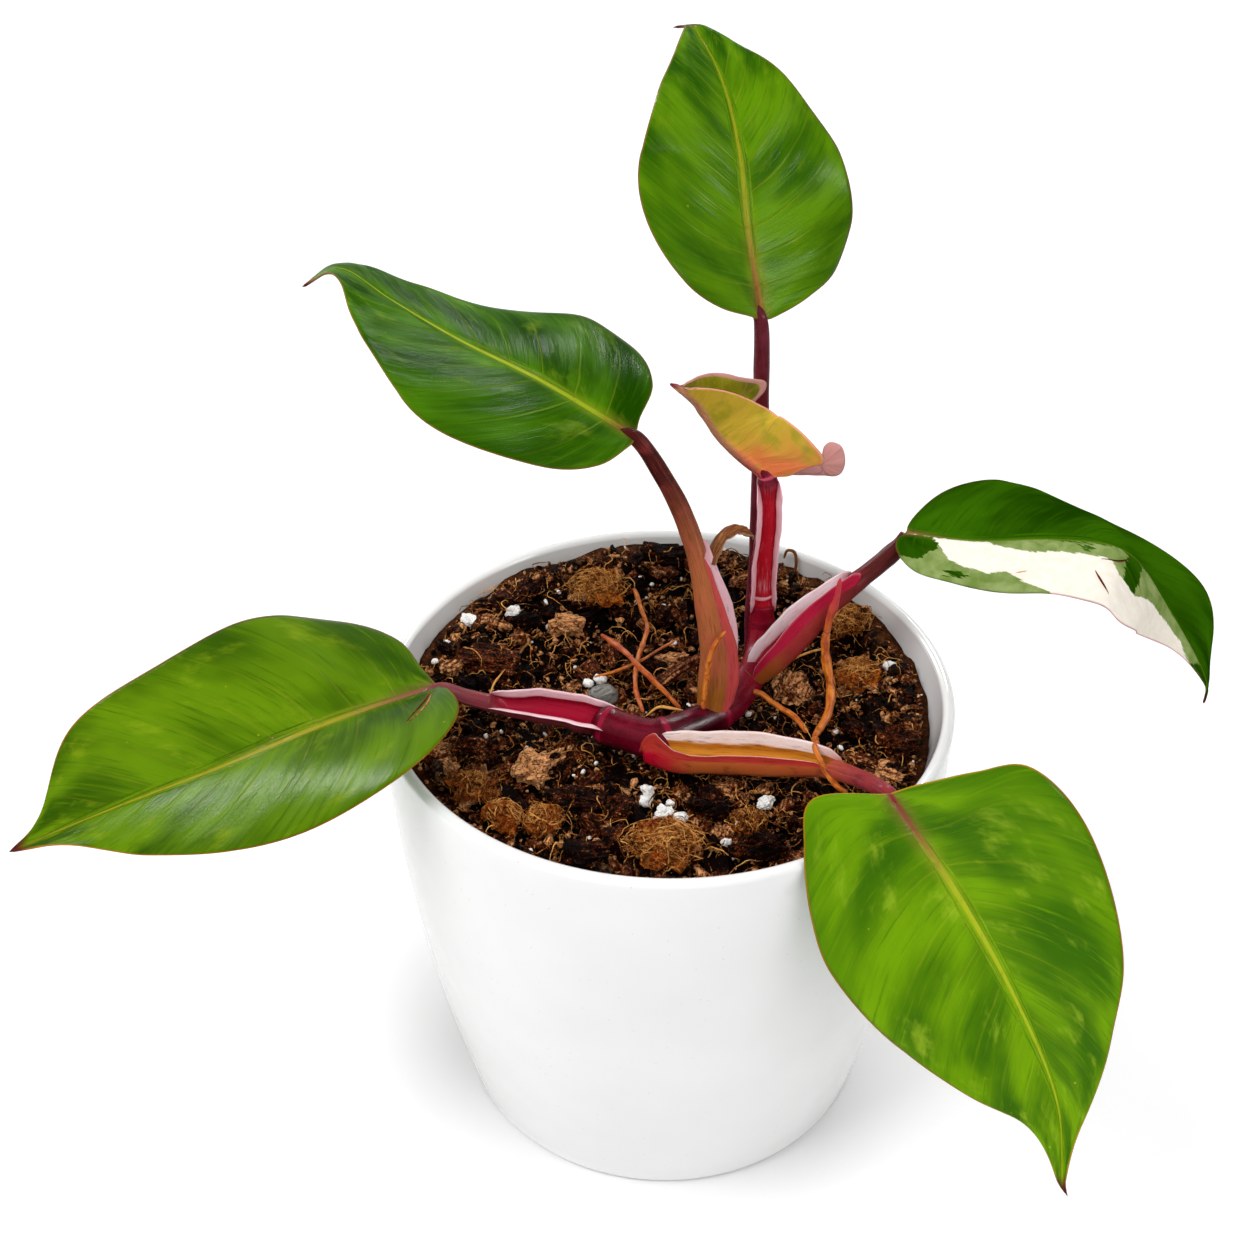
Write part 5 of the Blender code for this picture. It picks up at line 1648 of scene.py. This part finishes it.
def variegated_material(name, roughness, *tones):
    """Dark green, with two tones of cream and two of sage, cut by the stored fields with ragged edges."""
    shade = new_material(name, Specular_IOR_Level=0)
    pattern = shade.use(
        leaf_pattern, Deep="183c00", Bright="356404", Blotch="4a7010", Blotches=0.15, Rib_width=0.45,
        Rib="5f7a1c", Rib_base="8a6a3a", Pink_reach=0.1, Threads=0.1, Hem="7a4a30", Shift=5,
    )
    white, dark, _ = shade.attribute("patch")
    vein, to_margin, _ = shade.attribute("vein")
    _, outward, _ = shade.attribute("leaf")
    along_veins = shade.vector(shade.times(vein, 60), shade.times(outward, 9))
    ragged = shade.noise(along_veins, detail=4, roughness=0.7)
    fine = shade.noise(scale=0.5, detail=4)
    cream = shade.ramp(fine, (0.3, tones[0]), (0.7, tones[1]))
    cloud = shade.noise(scale=0.3, detail=4, distortion=0.5)
    sage = shade.ramp(cloud, (0.35, tones[2]), (0.68, tones[3]))
    base = shade.mix(shade.step(shade.stir(dark, ragged, 5), -0.12, 0.12), sage, pattern["Colour"])
    bare = shade.step(shade.stir(white, ragged, 2.25), -0.1, 0.14)
    base = shade.mix(bare, base, cream)
    base = shade.mix(shade.times(bare, shade.step(to_margin, 0.15, 0.6, 0.8, 0)), base, "d99aa0")
    return finish_leaf(shade, base, pattern, roughness)


cream_and_sage = ("f1e8d8", "f8f1e6", "6f8740", "93a365")
skin = variegated_material("variegated_skin", (0.27, 0.42), *cream_and_sage)
duller = ("dcd6c0", "e8e2d0", "7a8c50", "95a36c")
under = variegated_material("variegated_underside", (0.5, 0.65), *duller)
leaf = LEAVES["leaf_variegated"]
blade = build_blade("leaf_variegated_blade", leaf, skin, under, "leaf", pucker, variegation)
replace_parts(blade, "leaf_variegated")

# %% [markdown]
# ## The young blade
#
# The youngest leaf is still half rolled, like a paper cone, and hasn't turned green: its back is
# olive-gold that warms to orange at the base, its inside is olive, and a band along the margin is still
# mauve-pink. Its lobe curls back like an ear.


# %% Young blade
def young_material(name, main, warm, shadow, band, from_margin):
    """Gold to orange by the distance from the stalk, with a pink band along the margin."""
    shade = new_material(name, Specular_IOR_Level=0.12, Subsurface_Weight=0.05)
    pattern = shade.use(leaf_pattern, Shift=6)
    share, outward, across = shade.attribute("leaf")
    vein, to_margin, _ = shade.attribute("vein")
    cloud = shade.noise(scale=0.14, detail=3, distortion=0.4)
    fine = shade.noise(scale=1.1, detail=3)
    level = shade.stir(share, cloud, 0.35)
    base = shade.mix(shade.step(level, 0.14, 0.42), warm, main)
    # Darker olive patches: partly the leaf's own mottling, partly painted shade on the rolled blade.
    mottle_and_painted_shade = shade.noise(scale=0.17, detail=2, roughness=0.45)
    base = shade.mix(shade.step(mottle_and_painted_shade, 0.45, 0.7, 0, 0.75), base, shadow)
    base = shade.mix(shade.step(fine, 0.5, 0.8, 0, 0.25), base, "e3b266")
    line = shade.math("PINGPONG", shade.times(vein, 9), 0.5)
    base = shade.mix(shade.step(line, 0, 0.06, 0.35, 0), base, "c58a4e")
    rib = shade.step(shade.math("ABSOLUTE", across), 0.6, 1.8, 0.9, 0)
    base = shade.mix(rib, base, shade.mix(shade.step(share, 0, 0.35, 1, 0), "d88f70", "9c1730"))
    edge = shade.stir(to_margin, cloud, 1.2)
    base = shade.mix(shade.step(edge, from_margin * 0.7, from_margin, 0.92, 0), base, band)
    ear = shade.times(shade.step(share, 0.28, 0.4, 1, 0), shade.step(outward, -0.78, -0.6, 1, 0))
    base = shade.mix(shade.times(ear, 0.9), base, "c98a8a")
    base = shade.mix(shade.step(share, 0.93, 0.99), base, "8e2430")
    return finish_leaf(shade, base, pattern, roughness=(0.34, 0.5))


inside = young_material("young_inside", "8e8a12", "8a6a1c", "4e560a", "d09088", 2.0)
outside = young_material("young_back", "dcb838", "f8844c", "a09c1e", "ee9c78", 0.8)
blade = build_blade("leaf_new_blade", LEAVES["leaf_new"], inside, outside, "young_leaf")
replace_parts(blade, "leaf_new")

# %% The young blade's ear
EAR = [  # outline of the lobe that curls back, as (along the midrib, out from it)
    (-6.9, 12.3), (-5.5, 13.9), (-5.8, 15.8), (-8, 16.9), (-10.2, 16.1), (-12.1, 14.3),
    (-13, 12.2), (-12.2, 10.4), (-10.2, 8.9), (-7.9, 6.9), (-5.2, 4.6), (-2.7, 2.3),
    (-3, 4.6), (-4.4, 7.4), (-5.6, 10), (-6.4, 11.4),
]


def make_ear(name, leaf, outline, material):
    """A small round dish, a closed thin solid that lies just off the blade's surface."""
    segments, rings_out = 48, 10
    edge = smooth_path(outline + outline[:1], segments + 1)[:-1]
    centre = np.array(outline).mean(axis=0)
    reach = np.linspace(0.06, 1, rings_out)[:, None, None]
    flat = centre + reach * (edge - centre)
    sheet = place_on_leaf(leaf, leaf_frames(leaf), flat[..., 0], flat[..., 1], -1)
    normal = unit(np.cross(sheet[-1, 0] - sheet[0, 0], sheet[-1, segments // 4] - sheet[0, 0]))
    away = reach[..., 0] ** 3 * 0.9 + 0.12 * np.cos(9 * ring_angles(segments)) * reach[..., 0]
    sheet = sheet + normal * (away + 0.5)[..., None]
    thick = 0.22 * np.sqrt(1 - (reach - 0.06) ** 6 * 0.9)
    rings = np.concatenate([sheet + normal * thick, (sheet - normal * thick)[::-1]])
    turn = np.broadcast_to(np.arange(segments) / segments, rings.shape[:2])
    inward = np.concatenate([1 - reach[..., 0], (1 - reach[..., 0])[::-1]]) * 4 + 0 * turn
    place = np.stack([0 * turn + 0.2, 0 * turn - 0.95, 0 * turn - 12], -1)
    vein = np.stack([turn, inward, 0 * turn - 1], -1)
    return make_tube(name, rings, material, "young_leaf", {"leaf": place, "vein": vein})


ear = make_ear("leaf_new_ear", LEAVES["leaf_new"], EAR, outside)
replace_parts(ear, "leaf_new")
print("ear:", len(ear.data.polygons), "faces")

# %% [markdown]
# ## Scars on the blades
#
# The left leaf tore near its stalk while it was rolled up, and healed with two raised brown lips. The
# white tissue split in three places. A thin strand laid on the blade gives such a lip its own edge and
# shadow. Its route is in shares along and across the blade, so that it follows every wave.

# %% Scars
SCARS = {  # blade: strands of (radius, tint, [(share of the midrib, share of the way out), ...])
    "leaf_left_blade": [
        (0.24, 0.35, [(0.055, 0.45), (0.09, 0.5), (0.145, 0.545), (0.19, 0.58), (0.214, 0.605)]),
        (0.2, 0.8, [(0.075, 0.54), (0.11, 0.575), (0.155, 0.605), (0.195, 0.625), (0.216, 0.615)]),
    ],
    "leaf_variegated_blade": [
        (0.14, 1, [(0.291, -0.64), (0.3, -0.62), (0.312, -0.6)]),
        (0.24, 0.3, [(0.441, -0.52), (0.449, -0.6), (0.462, -0.7), (0.478, -0.8)]),
        (0.22, 0.1, [(0.45, -0.3), (0.475, -0.27), (0.5, -0.2), (0.52, -0.1)]),
    ],
}


def on_blade(name, places, lift):
    """Points on the upper side of a blade, from (share, outward) places."""
    grid, normal = SURFACES[name]
    rows = places[:, 0] * (grid.shape[0] - 1)
    columns = HALF_COLUMNS * (1 - np.sign(places[:, 1]) * np.abs(places[:, 1]) ** (1 / COLUMN_POWER))
    low, left = np.floor(rows).astype(int), np.floor(columns).astype(int)
    down, right = (rows - low)[:, None], (columns - left)[:, None]
    raised = grid + normal * lift
    near = raised[low, left] * (1 - right) + raised[low, left + 1] * right
    far = raised[low + 1, left] * (1 - right) + raised[low + 1, left + 1] * right
    return near * (1 - down) + far * down


SCAR_SKIN = bark_material(
    "scar_tissue", Dark="4a0c0a", Middle="8c3020", Light="d8985c", Streaks=0.4, relief=0.05,
)
scars = Heap()
for name, strands in SCARS.items():
    for radius, tint, route in strands:
        fibre(scars, on_blade(name, smooth_path(route, 24), 0.25 * radius), radius, tint, chance, sides=8)
scars.finish("healed_scars", SCAR_SKIN, "leaf")


# %% [markdown]
# ## Air roots, husk and splinter
#
# From the stem and the sheaths run orange roots, thin as string, that swell and pinch as they look for
# a hold: tubes whose radius wanders. A dry husk, left from the leaf that opened last, arches over the
# stem. It is a sheet curled across like a dry leaf, because a plain bent strip would miss the two
# rolled edges that catch the light. A splinter of bark lies behind.

# %% Root skin
def root_material():
    """Orange-brown bark of an air root: redder where young, with darker cork patches and pale rings."""
    shade = new_material("root_skin", Specular_IOR_Level=0.2, Subsurface_Weight=0.03)
    travelled, across, up = shade.attribute("grain")
    red, dry, _ = shade.attribute("tint")
    stretched = shade.vector(shade.times(travelled, 0.22), across, up)
    streak = shade.noise(stretched, scale=1.3, detail=4, roughness=0.6)
    cork = shade.noise(scale=0.5, detail=4, roughness=0.6)
    base = shade.mix(shade.step(streak, 0.3, 0.7), "ac4a10", "de8430")
    base = shade.mix(shade.step(cork, 0.5, 0.68, 0, 0.7), base, "7a3414")
    rings = shade.noise(shade.vector(shade.times(travelled, 1.6), 0), detail=2)
    rings = shade.step(rings, 0.62, 0.75, 0, 0.4)
    base = shade.mix(rings, base, "e6ab70")
    redness = shade.step(shade.stir(red, cork, 0.4), 0.1, 0.9)
    base = shade.mix(redness, base, "b5303a")
    base = shade.mix(shade.times(dry, 0.8), base, "42200f")
    dullness = shade.step(cork, 0.35, 0.65, 0.42, 0.62)
    return shade.surface(base, dullness, shade.times(cork, 0.6, streak), 0.15, 0.8)


ROOT_SKIN = root_material()
print("root skin:", len(ROOT_SKIN.node_tree.nodes), "nodes")

# %% Roots
ROOTS = {  # name: (radius, redness, route), each from its start to its end
    "root_hanging": (
        (0.5, 0.8, 0.9, 0.95, 1.05, 1.1, 0.95, 0.8), (1, 0.55, 0.15, 0.05, 0),
        [
            (40.4, 11.2, 140.6), (39.6, 9.6, 135.4), (38.2, 9.4, 129), (37.6, 8.2, 124), (38, 6.2, 119.5),
            (39, 3.4, 115.5), (38.5, -1, 111.5), (36.5, -5, 109.4), (34.2, -8.6, 108.4),
        ],
    ),
    "root_right": (
        (0.8, 0.7, 0.7, 0.65, 0.7), (0.2, 0.1, 0.3),
        [(19.5, 3, 113.3), (22.4, 2.6, 113), (25.4, 0.9, 111.6), (30.2, -2, 109.6), (33.2, -6, 108.2)],
    ),
    "root_front": (
        (0.9, 0.8, 0.7, 0.6, 0.7, 0.6), (0.2, 0, 0),
        [
            (34.6, -9, 108.6), (34.2, -16, 112.6), (33.4, -22.4, 118.6), (32.8, -26.5, 120.4),
            (33.6, -29.5, 119.7), (35.2, -32.5, 117.9), (37.4, -35.5, 116.7), (39.5, -37, 116.3),
        ],
    ),
    "root_long": (
        (0.45, 0.7, 0.6, 0.7, 0.55), (0.45, 0.4, 0.3),
        [
            (-16, 32, 108.8), (-13, 24.5, 111.9), (-9.5, 18.5, 113), (-6.5, 13.5, 112.8),
            (-1.5, 8, 110.8), (3.4, 2.6, 108.3),
        ],
    ),
    "root_hooked": (
        (0.45, 0.6, 0.5, 0.65, 0.55, 0.6, 0.5), (0.1, 0.2, 0.4),
        [
            (-9, 47.5, 110.4), (-7.5, 45, 113.2), (-6, 37.5, 113), (-4.5, 31.5, 111.6),
            (-5.5, 25.5, 110.8), (-7.2, 18, 110), (-7.4, 9.5, 109), (-5.5, 1.5, 108.2),
        ],
    ),
    "root_upper": (
        (0.4, 0.55, 0.65, 0.65, 0.6, 0.6), (0, 0, 0.2),
        [
            (13.1, -4, 136.6), (11.4, -4.8, 134.6), (9.8, -5.8, 131.5), (8.8, -7, 125), (8.4, -8, 119.6),
            (8.2, -8.8, 117.4),
        ],
    ),
    "root_thread": (
        (0.3, 0.45, 0.35, 0.3), (0, 0, 0),
        [(-17.5, 14.5, 109), (-12, 16, 109.6), (-6.8, 20, 109.2), (-2, 24.4, 109.4), (2.6, 29, 109.2)],
    ),
    "dry_tendril": (
        (0.3, 0.45, 0.35, 0.45, 0.35), (0, 0.1, 0.2),
        [
            (31, 54.8, 116.4), (31.8, 55.2, 118.6), (33.6, 54.6, 118.4), (34, 53, 115.6),
            (33, 50.6, 112.6), (31.5, 47.5, 109.6),
        ],
    ),
}


def make_root(name, radii, route, redness, seed):
    count, sides = 90, 12
    path = smooth_path(route, count)
    path = path + 0.15 * np.column_stack([wavy(path, 5.0, seed + shift) for shift in (0, 20, 40)])
    along = shares(count)
    length = path_length(path)
    knots = np.clip(wavy(path, 2.6, seed + 60), 0, 1) ** 1.5 * 0.5
    swell = spread(radii, count) * (1 + 0.16 * wavy(path, 4.0, seed + 80) + knots)
    swell = swell * np.sqrt(np.clip(1 - np.abs(2 * along - 1) ** 24, 0.02, 1))
    rings, angles = tube_rings(path, np.repeat(swell[:, None], sides, axis=1), (0.13, 0.21, 1), sides)
    dents = 0.10 * wavy(rings.reshape(-1, 3), 1.3, seed).reshape(count, sides, 1)
    rings = rings + dents * (rings - path[:, None])
    grain = np.stack([band(along * length, rings), np.cos(angles), np.sin(angles)], -1)
    tint = np.stack([band(spread(redness, count), rings), 0 * angles + ("dry" in name), 0 * angles], -1)
    return make_tube(name + "_strand", rings, ROOT_SKIN, "root", {"grain": grain, "tint": tint})


for seed, (name, (radii, redness, route)) in enumerate(ROOTS.items()):
    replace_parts(make_root(name, radii, route, redness, seed * 3.3), name)
print("roots:", len(ROOTS))


# %% Husk
def husk_material():
    """Dry tissue: brown, streaked lengthwise, paler towards its rolled edges."""
    shade = new_material("dry_husk_skin", Specular_IOR_Level=0.15)
    travelled, across, _ = shade.attribute("grain")
    streak_place = shade.vector(shade.times(travelled, 0.12), shade.times(across, 4))
    streak = shade.noise(streak_place, scale=1.6, detail=5, roughness=0.65)
    fleck = shade.noise(scale=1.2, detail=4)
    base = shade.ramp(streak, (0.32, "34170a"), (0.5, "82481c"), (0.68, "b47a44"))
    edge = shade.step(shade.math("ABSOLUTE", across), 0.62, 0.98)
    base = shade.mix(shade.times(edge, 0.55), base, "deb08a")
    base = shade.mix(shade.step(fleck, 0.55, 0.7, 0, 0.5), base, "5c2c18")
    return shade.surface(base, shade.step(fleck, 0.3, 0.7, 0.55, 0.8), streak, 0.25, 0.9)


def make_sheet(name, route, half_width, curl_turn, up):
    """A thin closed sheet along a route, rolled across by curl_turn degrees."""
    count, columns, thick = 60, 17, 0.3
    path = smooth_path(route, count)
    _, sideways, upward = frames_along(path, up)
    q = np.linspace(-1, 1, columns)
    width = half_width * np.sin(np.linspace(0.35, math.pi - 0.2, count)) ** 0.5
    width = width * (1 + 0.12 * wavy(path, 2.2, 5.0))
    bend = np.radians(spread(curl_turn, count))[:, None]
    radius = width[:, None] / np.maximum(bend, 0.05)
    turn = bend * q
    middle = rings_along(path, sideways, upward, radius * np.sin(turn), radius * (np.cos(turn) - 1))
    out = rings_along(0 * path, sideways, upward, np.sin(turn), np.cos(turn))
    wrinkles = wavy(middle.reshape(-1, 3), 2.4, 9.0).reshape(count, columns, 1)
    ridges = 0.12 * np.cos(q * 21)[None, :, None] + 0.25 * wrinkles
    outer = middle + out * (ridges + thick / 2)
    inner = middle + out * (ridges - thick / 2)
    rings = np.concatenate([outer, inner[:, ::-1]], axis=1)
    length = path_length(path)
    place = np.concatenate([q, q[::-1]])
    across = np.broadcast_to(place, rings.shape[:2])
    grain = np.stack([band(np.linspace(0, length, count), rings), across, 0 * across], -1)
    tint = np.stack([0 * across + 0.5, 0 * across, 0 * across], -1)
    return make_tube(name, rings, husk_material(), "husk", {"grain": grain, "tint": tint}, crease=50)


HUSK_ROUTE = [
    (9.4, 5.4, 148.6), (10.4, 7.4, 151.6), (12.4, 10.6, 153.6),
    (15.6, 14.6, 153), (18.2, 18, 150.2), (19.6, 20.6, 146),
]
husk = make_sheet("dry_husk_sheet", HUSK_ROUTE, 2.6, (70, 110, 120, 80, 40), (-0.25, -0.5, 1))
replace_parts(husk, "dry_husk")
print("husk:", len(husk.data.polygons), "faces")

# %% Splinter
STRIP_ROUTE = [(-4.8, 7.4, 109), (1, 14.6, 109.3), (7, 19.6, 109.5), (13.4, 23.6, 109.4)]


def make_splinter(name, route, half_width, half_height):
    """A long broken sliver of bark: a flat tube with ridges along its grain and ragged ends."""
    count, sides = 60, 24
    path = smooth_path(route, count)
    _, sideways, upward = frames_along(path, (0, 0, 1))
    angles = ring_angles(sides)
    taper = np.clip(np.minimum(np.linspace(0, 6, count), np.linspace(9, 0, count)), 0.15, 1)[:, None]
    flat = np.sign(np.cos(angles)) * np.abs(np.cos(angles)) ** 0.6
    tall = np.sign(np.sin(angles)) * np.abs(np.sin(angles)) ** 0.6
    ridge = 1 + 0.16 * np.sin(7 * angles + 1) + 0.10 * np.sin(13 * angles + 3)
    across = taper * half_width * flat * ridge
    rise = taper * half_height * tall * ridge
    rings = rings_along(path, sideways, upward, across, rise)
    rings = rings + 0.22 * wavy(rings.reshape(-1, 3), 1.8, 3.0).reshape(count, sides, 1) * upward[:, None]
    grain = np.stack([band(np.linspace(0, 24, count), rings), across, rise], -1)
    tint = np.stack([0 * across + 0.5, 0 * across + 0.2, 0 * across], -1)
    return make_tube(name, rings, BARK, "bark", {"grain": grain, "tint": tint}, crease=35)


splinter = make_splinter("bark_splinter", STRIP_ROUTE, 1.5, 1.0)
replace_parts(splinter, "bark_strip")
print("splinter:", len(splinter.data.polygons), "faces")
